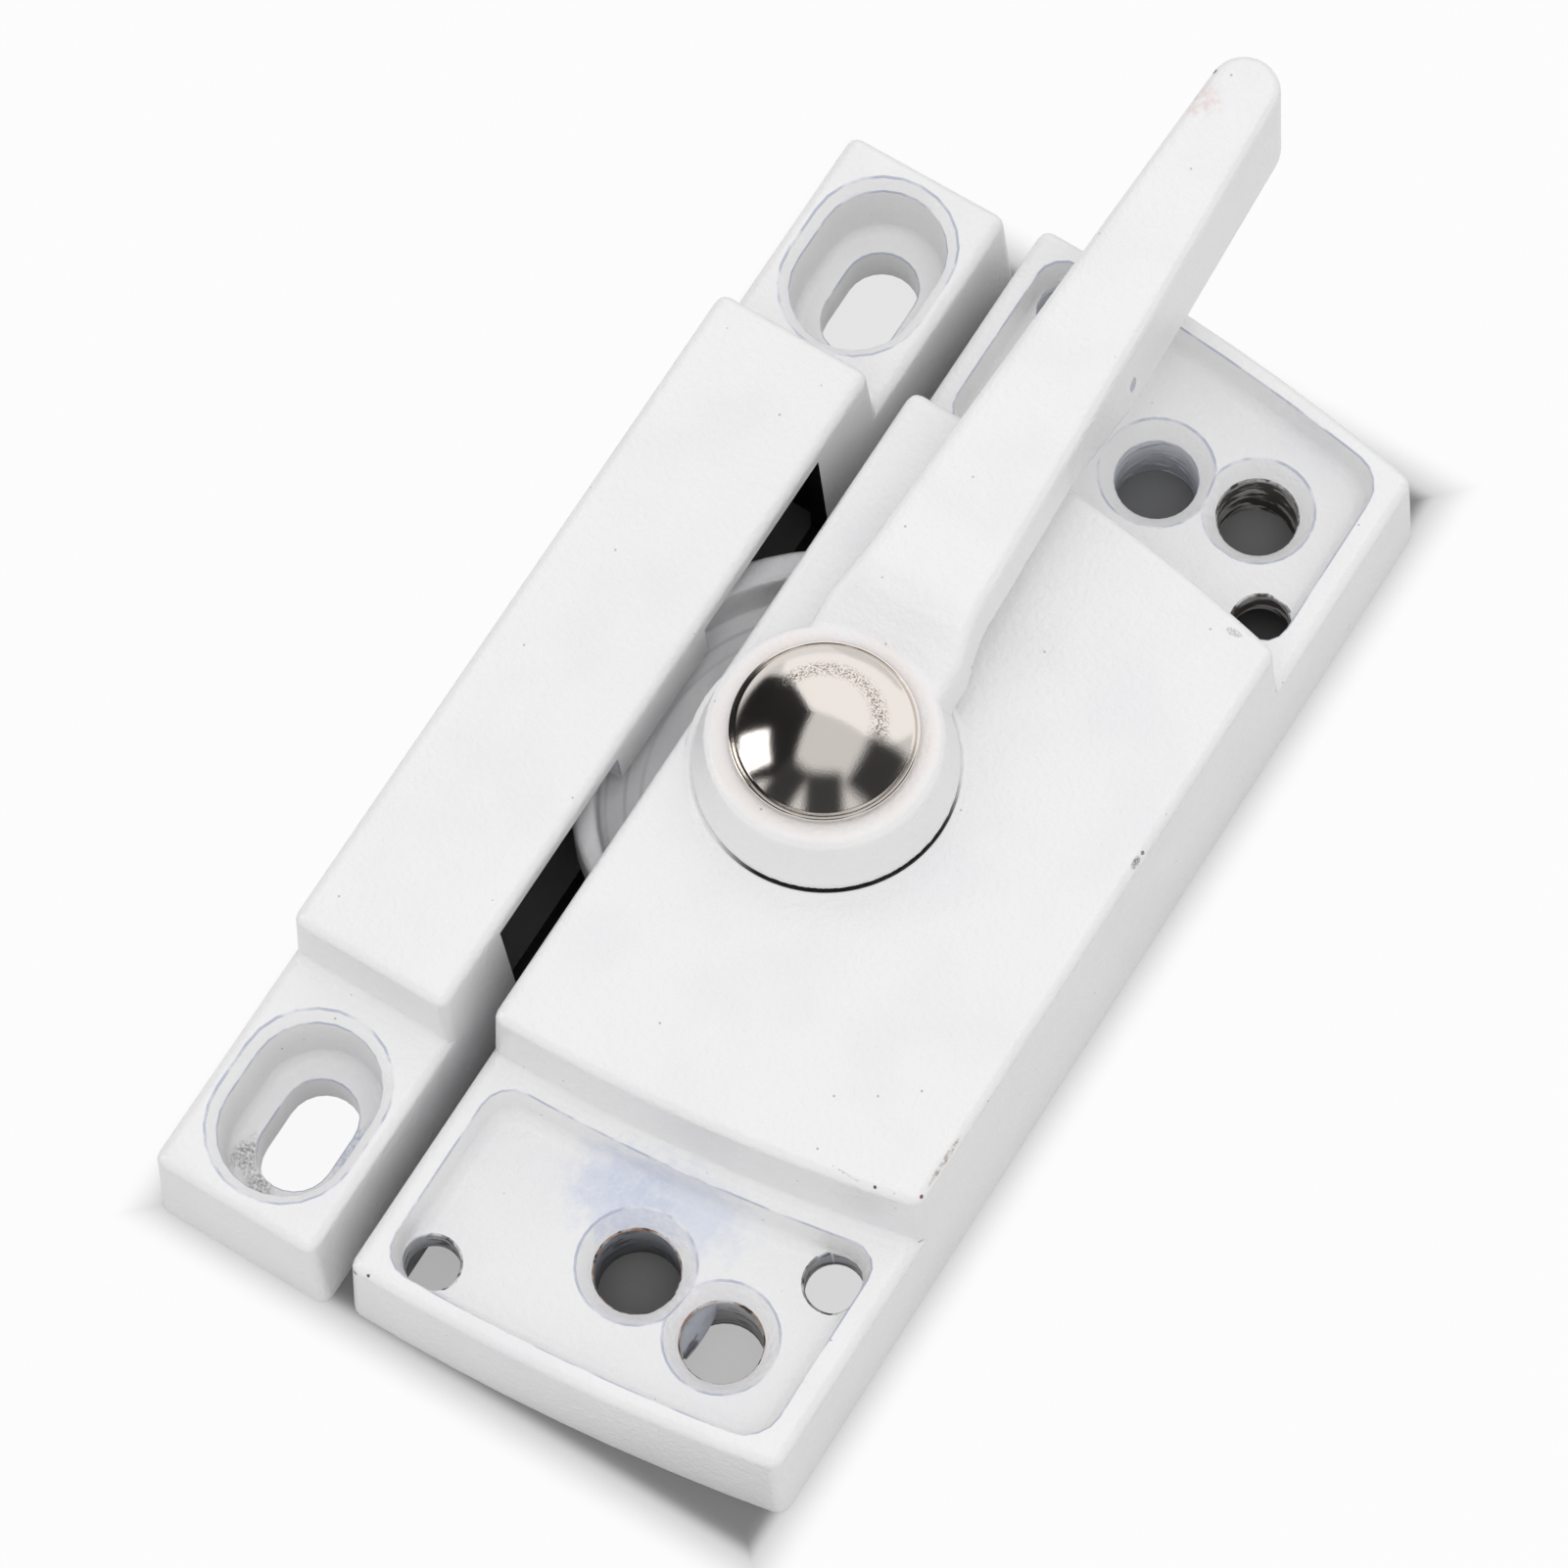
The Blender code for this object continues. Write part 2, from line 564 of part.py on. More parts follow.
def arm_outline(inset):
    """The arm seen from above, inset from its widest: from the root round the tip and back."""
    hub_edge = HUB_FOOT_DIAMETER / 2
    tip_x = LEVER_REACH - ARM_TIP_RADIUS
    root = hub_edge - ARM_ROOT_INSIDE_HUB
    flare_end = hub_edge + ARM_FLARE_LENGTH
    ramp_start = GRIP_START - GRIP_RAMP_LENGTH
    stops = (root, hub_edge, flare_end, ramp_start, GRIP_START, tip_x)
    places = [low + (high - low) * step / CORNER_STEPS
              for low, high in zip(stops, stops[1:]) for step in range(CORNER_STEPS)]
    half = []
    for x in places:
        taper = max(x - hub_edge, 0) / (tip_x - hub_edge)
        width = ARM_ROOT_WIDTH / 2 * (1 - taper) + ARM_TIP_RADIUS * taper + ARM_FLARE * root_flare(x)
        half.append((x, width - inset))
    half += arc(tip_x, 0, ARM_TIP_RADIUS - inset, QUARTER, 0, CORNER_STEPS * 3)
    return half + [(x, -y) for x, y in reversed(half[:-1])]


def arm_solid():
    """The arm: rings from the underside up its drafted walls and over its round top edge."""
    rounding = [QUARTER * step / CORNER_STEPS for step in range(CORNER_STEPS + 1)]
    lean = DRAFT_SLOPE * ARM_ROOT_TOP
    layers = [(arm_underside, 0, 0)]
    layers += [(arm_top, lean + ARM_EDGE_RADIUS * (1 - math.cos(a)), ARM_EDGE_RADIUS * (1 - math.sin(a)))
               for a in rounding]
    solid = bmesh.new()
    rows = [[solid.verts.new((x, y, height(x) - drop)) for x, y in arm_outline(inset)]
            for height, inset, drop in layers]
    count = len(rows[0])
    for low, high in zip(rows, rows[1:]):
        for index in range(count):
            following = (index + 1) % count
            solid.faces.new((low[index], low[following], high[following], high[index]))
    tip = count // 2
    for row in (rows[0], rows[-1]):
        for index in range(tip - 1):
            solid.faces.new((row[index], row[index + 1], row[count - 2 - index], row[count - 1 - index]))
        solid.faces.new((row[tip - 1], row[tip], row[tip + 1]))
    return solid


def build_lever(parent):
    """The handle lever: a turned hub joined to the arm, with the cap recess and spindle socket."""
    foot, top = HUB_FOOT_DIAMETER / 2, HUB_TOP_DIAMETER / 2
    crown = arc(top - HUB_EDGE_RADIUS, HUB_TOP - HUB_EDGE_RADIUS, HUB_EDGE_RADIUS, 0, QUARTER, CORNER_STEPS)
    hub = turned([(0, HUB_BOTTOM), (foot, HUB_BOTTOM), (foot, HUB_BOTTOM + HUB_FOOT_BAND), *crown, (0, HUB_TOP)],
                 FINE_TURN_STEPS)
    lever = make_piece("handle_lever", hub, parent, POWDER_COAT)
    join(lever, "arm", arm_solid())
    cut(lever, "cap_recess", cylinder(CAP_RECESS_DIAMETER / 2, HUB_WEB_TOP, HUB_TOP + OVERRUN, FINE_TURN_STEPS))
    socket = double_flat(SPINDLE_RADIUS + SEAT_GAP, SPINDLE_FLATS / 2 + SEAT_GAP)
    cut(lever, "spindle_socket", prism(socket, HUB_BOTTOM - OVERRUN, HUB_WEB_TOP + OVERRUN))


def build_cap(parent):
    """The pressed cap: a rolled rim over the hub, a domed crown and a skirt down the recess."""
    rim, dome = CAP_RIM_DIAMETER / 2, CAP_DOME_DIAMETER / 2
    low = HUB_TOP + SEAT_GAP
    roll = CAP_RIM_THICKNESS / 2
    rolled = arc(rim - roll, low + roll, roll, -QUARTER, QUARTER, CORNER_STEPS * 2)
    shoulder = low + CAP_RIM_THICKNESS + CAP_DOME_STEP
    radius = (dome ** 2 + CAP_DOME_RISE ** 2) / (2 * CAP_DOME_RISE)
    centre = shoulder + CAP_DOME_RISE - radius
    crown = arc(0, centre, radius, math.acos(dome / radius), QUARTER, CORNER_STEPS * 3)
    outer = [*rolled, (dome, low + CAP_RIM_THICKNESS), *crown[:-1], (0, shoulder + CAP_DOME_RISE)]
    skirt = CAP_RECESS_DIAMETER / 2 - SEAT_GAP
    bore = skirt - CAP_WALL
    vault_radius = radius - CAP_WALL
    vault = arc(0, centre, vault_radius, QUARTER, math.acos(bore / vault_radius), CORNER_STEPS * 3)
    skirt_bottom = HUB_TOP - CAP_SKIRT_DEPTH
    inner = [(0, centre + vault_radius), *vault[1:], (bore, skirt_bottom), (skirt, skirt_bottom), (skirt, low)]
    make_piece("hub_cap", turned(outer + inner, FINE_TURN_STEPS), parent, NICKEL)


def build_spindle(parent):
    """The spindle: head, square for the cam, round journal, two flats and a tapped end."""
    head_top = CAM_HUB_BOTTOM - SEAT_GAP
    head_bottom = head_top - SPINDLE_HEAD_THICKNESS
    flats_bottom = HUB_BOTTOM - SEAT_GAP
    top = HUB_WEB_TOP - SEAT_GAP
    head = SPINDLE_HEAD_DIAMETER / 2
    spindle = make_piece("spindle", turned(
        ((0, head_bottom), (head - SPINDLE_CORNER, head_bottom), (head, head_bottom + SPINDLE_CORNER),
         (head, head_top), (SPINDLE_RADIUS, head_top), (SPINDLE_RADIUS, flats_bottom), (0, flats_bottom))),
        parent, STEEL)
    overlap = SPINDLE_HEAD_THICKNESS / 2
    square = rounded_rectangle(SPINDLE_SQUARE, SPINDLE_SQUARE, SPINDLE_CORNER)
    join(spindle, "square", prism(square, head_top - overlap, CAM_TOP))
    flats = double_flat(SPINDLE_RADIUS - SPINDLE_CORNER / 8, SPINDLE_FLATS / 2)
    join(spindle, "flats", prism(flats, flats_bottom - overlap, top))
    tap = SPINDLE_TAP_DIAMETER / 2
    cut(spindle, "tapped_hole", turned(((0, top - SPINDLE_TAP_DEPTH - tap / 2), (tap, top - SPINDLE_TAP_DEPTH),
                                        (tap, top + OVERRUN), (0, top + OVERRUN))))


def build_washer(name, parent, finish, inner, outer, bottom, thickness):
    """A flat washer or a plain bush."""
    make_piece(name, turned(((inner, bottom), (outer, bottom), (outer, bottom + thickness),
                             (inner, bottom + thickness))), parent, finish)


def build_wave_washer(parent):
    """The spring washer between cam and bearing, which rises and falls round its ring."""
    inner, outer = BUSH_BORE_RADIUS, WAVE_WASHER_DIAMETER / 2
    middle, half = (CAM_TOP + BEARING_BOTTOM) / 2, WAVE_WASHER_THICKNESS / 2
    solid = turned(((inner, middle - half), (outer, middle - half), (outer, middle + half), (inner, middle + half)),
                   FINE_TURN_STEPS)
    for corner in solid.verts:
        corner.co.z += WAVE_HEIGHT * math.sin(WAVE_COUNT * math.atan2(corner.co.y, corner.co.x))
    make_piece("wave_washer", solid, parent, SPRING_STEEL)


def build_screw(parent):
    """The screw under the cap, with a slotted pan head, and its washer."""
    washer_bottom = HUB_WEB_TOP + SEAT_GAP
    build_washer("screw_washer", parent, STEEL, SCREW_DIAMETER / 2 + SEAT_GAP, SCREW_WASHER_DIAMETER / 2,
                 washer_bottom, SCREW_WASHER_THICKNESS)
    head_bottom = washer_bottom + SCREW_WASHER_THICKNESS + SEAT_GAP
    head_top = head_bottom + SCREW_HEAD_THICKNESS
    shank, head = SCREW_DIAMETER / 2, SCREW_HEAD_DIAMETER / 2
    shank_bottom = HUB_WEB_TOP - SPINDLE_TAP_DEPTH
    crown = arc(head - SCREW_HEAD_RADIUS, head_top - SCREW_HEAD_RADIUS, SCREW_HEAD_RADIUS, 0, QUARTER, CORNER_STEPS)
    screw = make_piece("spindle_screw", turned([(0, shank_bottom), (shank, shank_bottom), (shank, head_bottom),
                                                (head, head_bottom), *crown, (0, head_top)]), parent, STEEL)
    slot = SCREW_SLOT_WIDTH / 2
    cut(screw, "driver_slot", box(-head - OVERRUN, head + OVERRUN, -slot, slot, head_top - SCREW_SLOT_DEPTH,
                                  head_top + OVERRUN))


def cam_section(share):
    """Cross-section of the cam's web and rim as (radius, height), from its trailing end to its nose."""
    nose = max(share * CAM_HALF_ANGLE * 2 - (CAM_HALF_ANGLE * 2 - CAM_NOSE_ANGLE), 0) / CAM_NOSE_ANGLE
    outer = CAM_RADIUS - CAM_NOSE_CUT * nose
    inner = CAM_RADIUS - CAM_RIM - CAM_PULL * (1 - share)
    root = CAM_DISC_DIAMETER / 2 - CAM_RIM
    low, high = CAM_BOTTOM + CAM_WEB_STEP, CAM_TOP - CAM_WEB_STEP
    return ((root, low), (outer, low), (outer, CAM_RIM_TOP - CAM_RIM_CHAMFER),
            (outer - CAM_RIM_CHAMFER, CAM_RIM_TOP), (inner, CAM_RIM_TOP), (inner, high), (root, high))


def build_cam(parent):
    """The cam: a disc with a hub below, and a sector with a hook rim that draws the keeper in."""
    disc, hub = CAM_DISC_DIAMETER / 2, CAM_HUB_DIAMETER / 2
    cam = make_piece("cam", turned(((0, CAM_HUB_BOTTOM), (hub, CAM_HUB_BOTTOM), (hub, CAM_BOTTOM),
                                    (disc, CAM_BOTTOM), (disc, CAM_TOP), (0, CAM_TOP)), FINE_TURN_STEPS),
                     parent, STEEL)
    rings = []
    for step in range(CAM_STEPS + 1):
        share = step / CAM_STEPS
        angle = QUARTER + CAM_HALF_ANGLE * (2 * share - 1)
        rings.append([(radius * math.cos(angle), radius * math.sin(angle), z) for radius, z in cam_section(share)])
    join(cam, "sector", loft(rings))
    hole = SPINDLE_SQUARE + SEAT_GAP * 2
    cut(cam, "square_hole", prism(rounded_rectangle(hole, hole, SPINDLE_CORNER + SEAT_GAP),
                                  CAM_HUB_BOTTOM - OVERRUN, CAM_TOP + OVERRUN))


def build_detent(parent):
    """The detent leaf on its shelf, with a bump under the cam, and the two rivets that hold it."""
    plate = RIVET_SPACING / 2 + RIVET_HEAD_DIAMETER / 2
    tongue = DETENT_WIDTH / 2
    far = FAR_SIDE + WALL + SEAT_GAP
    step_y = FAR_SIDE + WALL + DETENT_SEAT_DEPTH
    bump_y = -CAM_HUB_DIAMETER / 2 - CAM_CLEARANCE - tongue
    tip = arc(0, bump_y, tongue, 0, math.pi, CORNER_STEPS * 2)
    outline = [(-plate, far), (plate, far), (plate, step_y), (tongue, step_y), *tip, (-tongue, step_y),
               (-plate, step_y)]
    leaf = make_piece("detent_spring", prism(outline, DETENT_BOTTOM, DETENT_TOP), parent, SPRING_STEEL)
    bump = DETENT_BUMP_DIAMETER / 2
    join(leaf, "bump", turned(((0, DETENT_TOP - DETENT_THICKNESS / 2), (bump, DETENT_TOP - DETENT_THICKNESS / 2),
                               (bump, DETENT_TOP), (bump / 2, DETENT_TOP + DETENT_BUMP_HEIGHT),
                               (0, DETENT_TOP + DETENT_BUMP_HEIGHT)), TURN_STEPS // 2), (0, bump_y, 0))
    shank, head = RIVET_DIAMETER / 2, RIVET_HEAD_DIAMETER / 2
    seat = DETENT_TOP + SEAT_GAP / 3
    for index, side in enumerate((-1, 1), start=1):
        place = (side * RIVET_SPACING / 2, RIVET_Y, 0)
        cut(leaf, f"hole_{index}", cylinder(shank + SEAT_GAP / 2, DETENT_BOTTOM - OVERRUN, DETENT_TOP + OVERRUN,
                                            TURN_STEPS // 2), place)
        rivet = turned(((0, DETENT_SEAT - RIVET_LENGTH + SEAT_GAP), (shank, DETENT_SEAT - RIVET_LENGTH + SEAT_GAP),
                        (shank, seat), (head, seat), (head, seat + RIVET_HEAD_THICKNESS / 2),
                        (head / 2, seat + RIVET_HEAD_THICKNESS), (0, seat + RIVET_HEAD_THICKNESS)), TURN_STEPS // 2)
        make_piece(f"detent_rivet_{index}", rivet, parent, STEEL, place)


def slot_cutter():
    """A keeper slot: chamfered rim, leaning pocket walls, a floor and the slot through it."""
    waist_z = KEEPER_FLANGE_HEIGHT - SLOT_CHAMFER
    waist_length, waist_width = SLOT_RIM_LENGTH - SLOT_CHAMFER * 2, SLOT_RIM_WIDTH - SLOT_CHAMFER * 2
    lean = SLOT_WALL_SLOPE * (waist_z - SLOT_FLOOR) * 2
    layers = ((SLOT_LENGTH, SLOT_WIDTH, -OVERRUN), (SLOT_LENGTH, SLOT_WIDTH, SLOT_FLOOR),
              (waist_length - lean, waist_width - lean, SLOT_FLOOR), (waist_length, waist_width, waist_z),
              (SLOT_RIM_LENGTH + OVERRUN * 2, SLOT_RIM_WIDTH + OVERRUN * 2, KEEPER_FLANGE_HEIGHT + OVERRUN))
    return loft([[(x, y, z) for x, y in obround(length, width)] for length, width, z in layers])


def build_keeper(parent):
    """The keeper: a casting with slotted flanges and a hollow middle, open to the cam under a lip."""
    keeper = make_piece("keeper_body", stepped_casting(
        KEEPER_LENGTH, KEEPER_BLOCK_LENGTH, KEEPER_FRONT, KEEPER_BACK, KEEPER_FLANGE_HEIGHT, KEEPER_HEIGHT),
        parent, POWDER_COAT, (KEEPER_OFFSET, 0, 0))
    middle = (KEEPER_FRONT + KEEPER_BACK) / 2
    for side, tag in ((-1, "left"), (1, "right")):
        cut(keeper, f"{tag}_slot", slot_cutter(), (side * SLOT_SPACING / 2, middle, 0))
    mouth = MOUTH_LENGTH / 2
    hollow = mouth + KEEPER_WALL
    front = KEEPER_FRONT + KEEPER_WALL
    cut(keeper, "hollow", box(-hollow, hollow, front, KEEPER_BACK - KEEPER_WALL, -OVERRUN,
                              KEEPER_HEIGHT - KEEPER_ROOF))
    mouth_top = KEEPER_HEIGHT - MOUTH_BROW
    opening = cut(keeper, "mouth", box(-mouth, mouth, KEEPER_FRONT - OVERRUN, front + OVERRUN, MOUTH_SILL, mouth_top))
    lip = LIP_LENGTH / 2
    cut(opening, "lip", box(-lip, lip, KEEPER_FRONT - OVERRUN * 2, front + OVERRUN * 2, mouth_top - LIP_DROP,
                            mouth_top + OVERRUN))


def main():
    """Build every piece, then stand the set over the middle of its box."""
    remove_all_objects()
    lock_set = make_empty("lock_set")
    handle_axis = make_empty("handle_axis")
    handle_axis.parent = lock_set

    build_housing(lock_set)
    build_washer("spindle_bush", lock_set, NYLON, BUSH_BORE_RADIUS, BUSH_RADIUS, BEARING_BOTTOM,
                 SEAT_FLOOR - BEARING_BOTTOM)
    build_washer("hub_washer", lock_set, NYLON, BUSH_BORE_RADIUS, HUB_WASHER_DIAMETER / 2, SEAT_FLOOR + SEAT_GAP,
                 HUB_WASHER_THICKNESS)
    build_wave_washer(lock_set)
    build_detent(lock_set)
    build_keeper(lock_set)

    build_lever(handle_axis)
    build_cap(handle_axis)
    build_spindle(handle_axis)
    build_screw(handle_axis)
    build_cam(handle_axis)

    left = max(HOUSING_LENGTH / 2, KEEPER_LENGTH / 2 - KEEPER_OFFSET)
    right = max(LEVER_REACH, HOUSING_LENGTH / 2, KEEPER_LENGTH / 2 + KEEPER_OFFSET)
    lock_set.location = ((left - right) / 2, -(FAR_SIDE + KEEPER_BACK) / 2, 0)


main()
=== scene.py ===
"""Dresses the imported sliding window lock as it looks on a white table.

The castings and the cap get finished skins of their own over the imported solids, and every other
piece gets its real finish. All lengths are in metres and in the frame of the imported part, and a
finish that is drawn about the hub is centred on the spindle.
"""
import json
import logging
import math
from collections.abc import Callable, Iterable
from dataclasses import dataclass, field
from enum import Enum

import bmesh
import bpy
from bpy.types import Material, Node, NodeSocket, Object
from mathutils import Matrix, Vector


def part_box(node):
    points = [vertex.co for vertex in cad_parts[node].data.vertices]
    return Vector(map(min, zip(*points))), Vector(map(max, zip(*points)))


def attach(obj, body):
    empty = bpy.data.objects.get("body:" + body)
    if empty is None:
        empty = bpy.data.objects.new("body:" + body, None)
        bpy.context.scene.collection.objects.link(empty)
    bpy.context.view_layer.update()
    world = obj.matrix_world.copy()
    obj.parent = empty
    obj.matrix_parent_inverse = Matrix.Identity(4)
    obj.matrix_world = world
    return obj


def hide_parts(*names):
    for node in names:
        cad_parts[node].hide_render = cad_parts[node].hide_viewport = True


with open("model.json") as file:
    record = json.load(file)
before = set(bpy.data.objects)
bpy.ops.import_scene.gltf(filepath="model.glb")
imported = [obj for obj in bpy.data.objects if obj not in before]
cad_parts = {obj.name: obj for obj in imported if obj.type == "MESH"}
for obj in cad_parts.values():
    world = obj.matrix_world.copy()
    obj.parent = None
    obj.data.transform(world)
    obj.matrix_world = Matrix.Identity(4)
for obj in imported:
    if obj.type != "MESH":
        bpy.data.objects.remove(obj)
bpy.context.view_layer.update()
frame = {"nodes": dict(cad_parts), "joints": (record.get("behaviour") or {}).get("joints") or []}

MM = 0.001
QUARTER = math.pi / 2
SPINDLE = Vector((*frame["joints"][0]["pos_m"][:2], 0.0))
MERGE_REACH = 0.002 * MM
FLAT_ANGLE = math.radians(0.4)
CREASE_ANGLE = math.radians(33)
RIM_ANGLE = math.radians(38)
RIM_STEPS = 2
CREASE_STEPS = 5
# A wall is upright while its normal leans up or down by less than this.
WALL_LEAN = 0.3
# A mark below this size is a chip, with a fine crisp edge; a larger one is a stain, with a soft one.
CHIP_MOST = 0.5 * MM
CHIP_RAG, CHIP_CORE = 0.1 * MM, 0.7
STAIN_RAG, STAIN_CORE = 1.0 * MM, 0.3
NOISE_ROUGHNESS = 0.55
POWDER_IOR = 1.48
# A map-range node's way from one level to the other.
SOFTLY = {"interpolation_type": "SMOOTHSTEP"}
# The Mix node's two colour sockets and the output that holds their blend.
MIX_LOW, MIX_HIGH, MIX_RESULT = 6, 7, 2
log = logging.getLogger("window_lock")


class Body(Enum):
    """The two bodies that pieces ride on."""

    LOCK = "lock"
    HANDLE = "handle"


class Pick(Enum):
    """What an edit-mode selection picks, and where a mesh keeps it."""

    POINTS = ("VERT", "verts")
    EDGES = ("EDGE", "edges")
    FACES = ("FACE", "faces")


class Grain(Enum):
    """How a metal's surface was made, which sets the run of its fine marks."""

    TURNED = "fine rings about the spindle"
    ROLLED = "fine streaks along the sheet"


@dataclass(frozen=True)
class Region:
    """A block of space between two corners, in millimetres about the spindle."""

    low: tuple[float, float, float]
    high: tuple[float, float, float]

    def depth(self, place: Vector) -> float:
        """How deep in the block a world place lies, in millimetres; below zero is outside."""
        local = (place - SPINDLE) / MM
        return min(min(value - low, high - value) for low, value, high in zip(self.low, local, self.high))

    def holds(self, place: Vector) -> bool:
        """Whether a world place lies in the block."""
        return self.depth(place) >= 0


def within(regions: Iterable[Region], place: Vector) -> bool:
    """Whether a world place lies in any of several blocks."""
    return any(region.holds(place) for region in regions)


# Modelling by hand


def put_down_everything() -> None:
    """Leave edit mode and deselect every object."""
    if bpy.context.object and bpy.context.object.mode != "OBJECT":
        bpy.ops.object.mode_set(mode="OBJECT")
    bpy.ops.object.select_all(action="DESELECT")


def take_up(piece: Object) -> None:
    """Make a piece the only selected and active object."""
    put_down_everything()
    piece.select_set(True)
    bpy.context.view_layer.objects.active = piece


def select(piece: Object, pick: Pick, wanted: Callable[[object], bool]) -> int:
    """Select in edit mode what passes a test.

    Args:
        piece: the mesh object being worked on; it is left in edit mode.
        pick: whether points, edges or faces are picked.
        wanted: the test that each of them is put to.

    Returns:
        How many were selected.
    """
    mode, kind = pick.value
    if piece.mode != "EDIT":
        take_up(piece)
        bpy.ops.object.mode_set(mode="EDIT")
    bpy.ops.mesh.select_mode(type=mode)
    bpy.ops.mesh.select_all(action="DESELECT")
    solid = bmesh.from_edit_mesh(piece.data)
    solid.normal_update()
    chosen = [element for element in getattr(solid, kind) if wanted(element)]
    for element in chosen:
        element.select_set(True)
    solid.select_flush_mode()
    bmesh.update_edit_mesh(piece.data)
    return len(chosen)


def apply_modifier(piece: Object, kind: str, **settings: object) -> None:
    """Add a modifier with its settings and apply it.

    Args:
        piece: the object that is changed.
        kind: Blender's name for the kind of modifier.
        settings: the modifier's own settings by name.
    """
    take_up(piece)
    modifier = piece.modifiers.new(kind.lower(), kind)
    for name, value in settings.items():
        setattr(modifier, name, value)
    bpy.ops.object.modifier_apply(modifier=modifier.name)


def skin_of(node: str, name: str) -> Object:
    """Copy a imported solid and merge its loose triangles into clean, flat-sided faces.

    Args:
        node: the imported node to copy.
        name: the name of the new piece.

    Returns:
        The new piece, at the origin with its place in its mesh.
    """
    piece = bpy.data.objects.new(name, frame["nodes"][node].data.copy())
    bpy.context.scene.collection.objects.link(piece)
    piece.data.materials.clear()
    take_up(piece)
    bpy.ops.mesh.customdata_custom_splitnormals_clear()
    bpy.ops.object.mode_set(mode="EDIT")
    bpy.ops.mesh.select_all(action="SELECT")
    bpy.ops.mesh.remove_doubles(threshold=MERGE_REACH)
    bpy.ops.mesh.dissolve_limited(angle_limit=FLAT_ANGLE)
    bpy.ops.object.mode_set(mode="OBJECT")
    return piece


def middle_of(element: bmesh.types.BMEdge) -> Vector:
    """The middle of an edge."""
    return (element.verts[0].co + element.verts[1].co) / 2


def round_rims(piece: Object, radius: float, slot: int, wanted: Callable[[Vector], bool]) -> None:
    """Round the outward creases at chosen places, as the coat does, and give the strips their own finish.

    Args:
        piece: the casting being worked on.
        radius: how wide the rounding is.
        slot: the material slot that the new strips get.
        wanted: the test on the middle of an edge, in world coordinates.
    """
    count = select(piece, Pick.EDGES, lambda edge: len(edge.link_faces) == 2 and edge.is_convex
                   and edge.calc_face_angle() > RIM_ANGLE and wanted(middle_of(edge)))
    if count:
        bpy.ops.mesh.bevel(offset=radius, segments=RIM_STEPS, affect="EDGES", clamp_overlap=False,
                           material=slot)
    log.info("%s: %d rim edges rounded", piece.name, count)


def paint_faces(piece: Object, slot: int, wanted: Callable[[bmesh.types.BMFace], bool]) -> None:
    """Give the faces that pass a test another of the piece's finishes.

    Args:
        piece: the casting being painted.
        slot: the material slot that they get.
        wanted: the test that each face is put to.
    """
    if select(piece, Pick.FACES, wanted):
        piece.active_material_index = slot
        bpy.ops.object.material_slot_assign()


def smooth_skin(piece: Object) -> None:
    """Shade a finished piece smooth, with its large flat faces kept flat.

    Args:
        piece: the piece to shade.
    """
    take_up(piece)
    bpy.ops.object.shade_smooth_by_angle(angle=CREASE_ANGLE)
    apply_modifier(piece, "WEIGHTED_NORMAL", keep_sharp=True, weight=100)


def spun(name: str, profile: Iterable[tuple[float, float]], centre: Vector, steps: int) -> Object:
    """Turn a closed profile by extruding a circle from one station to the next.

    Args:
        name: the name of the new piece.
        profile: (radius, height) stations in order round the section, ending where they began.
        centre: the point on the axis that heights are measured from.
        steps: how many sides the circle has.

    Returns:
        The new piece, closed and facing outwards.
    """
    stations = list(profile)
    put_down_everything()
    radius, height = stations[0]
    bpy.ops.mesh.primitive_circle_add(vertices=steps, radius=radius,
                                      location=centre + Vector((0, 0, height)))
    piece = bpy.context.object
    piece.name = piece.data.name = name
    bpy.ops.object.transform_apply()
    bpy.ops.object.mode_set(mode="EDIT")
    bpy.ops.mesh.select_all(action="SELECT")
    for (before, low), (after, high) in zip(stations, stations[1:]):
        bpy.ops.mesh.extrude_edges_move()
        bpy.ops.transform.translate(value=(0, 0, high - low))
        bpy.ops.transform.resize(value=(after / before, after / before, 1),
                                 center_override=centre + Vector((0, 0, high)))
    bpy.ops.mesh.select_all(action="SELECT")
    bpy.ops.mesh.remove_doubles(threshold=MERGE_REACH)
    bpy.ops.mesh.normals_make_consistent(inside=False)
    bpy.ops.object.mode_set(mode="OBJECT")
    return piece


def arc(centre: tuple[float, float], radius: float, start: float, end: float,
        steps: int) -> list[tuple[float, float]]:
    """Points along an arc of a profile, both ends included.

    Args:
        centre: the middle of the arc, as radius and height.
        radius: the arc's own radius.
        start: the angle where it starts, in radians.
        end: the angle where it ends.
        steps: how many stretches it is cut into.

    Returns:
        The points in order.
    """
    turns = (start + (end - start) * step / steps for step in range(steps + 1))
    return [(centre[0] + radius * math.cos(turn), centre[1] + radius * math.sin(turn)) for turn in turns]


# Finishes


def linear(code: str) -> tuple[float, float, float, float]:
    """Turn an sRGB hex colour into the linear colour that a shader takes."""
    shares = [int(code[place:place + 2], 16) / 255 for place in (0, 2, 4)]
    return (*[share / 12.92 if share <= 0.04045 else ((share + 0.055) / 1.055) ** 2.4
              for share in shares], 1.0)


@dataclass(frozen=True)
class Mark:
    """A blot on a coat: a chip, a stain or a thin place.

    Its place is in millimetres about the spindle. Stretch says how much shorter than its size it is
    along each axis, dust how fine a pattern breaks it up, and pit whether the coat is gone there.
    """

    place: tuple[float, float, float]
    size: float
    colour: str
    stretch: tuple[float, float, float] = (1.0, 1.0, 1.0)
    dust: float = 0.0
    pit: bool = False


@dataclass(frozen=True)
class Halo:
    """A band of another colour about the spindle: whole, in patches of a size, or only to one side."""

    inner: float
    outer: float
    soft: float
    colour: str
    patchy: float = 0.0
    bearing_degrees: float | None = None


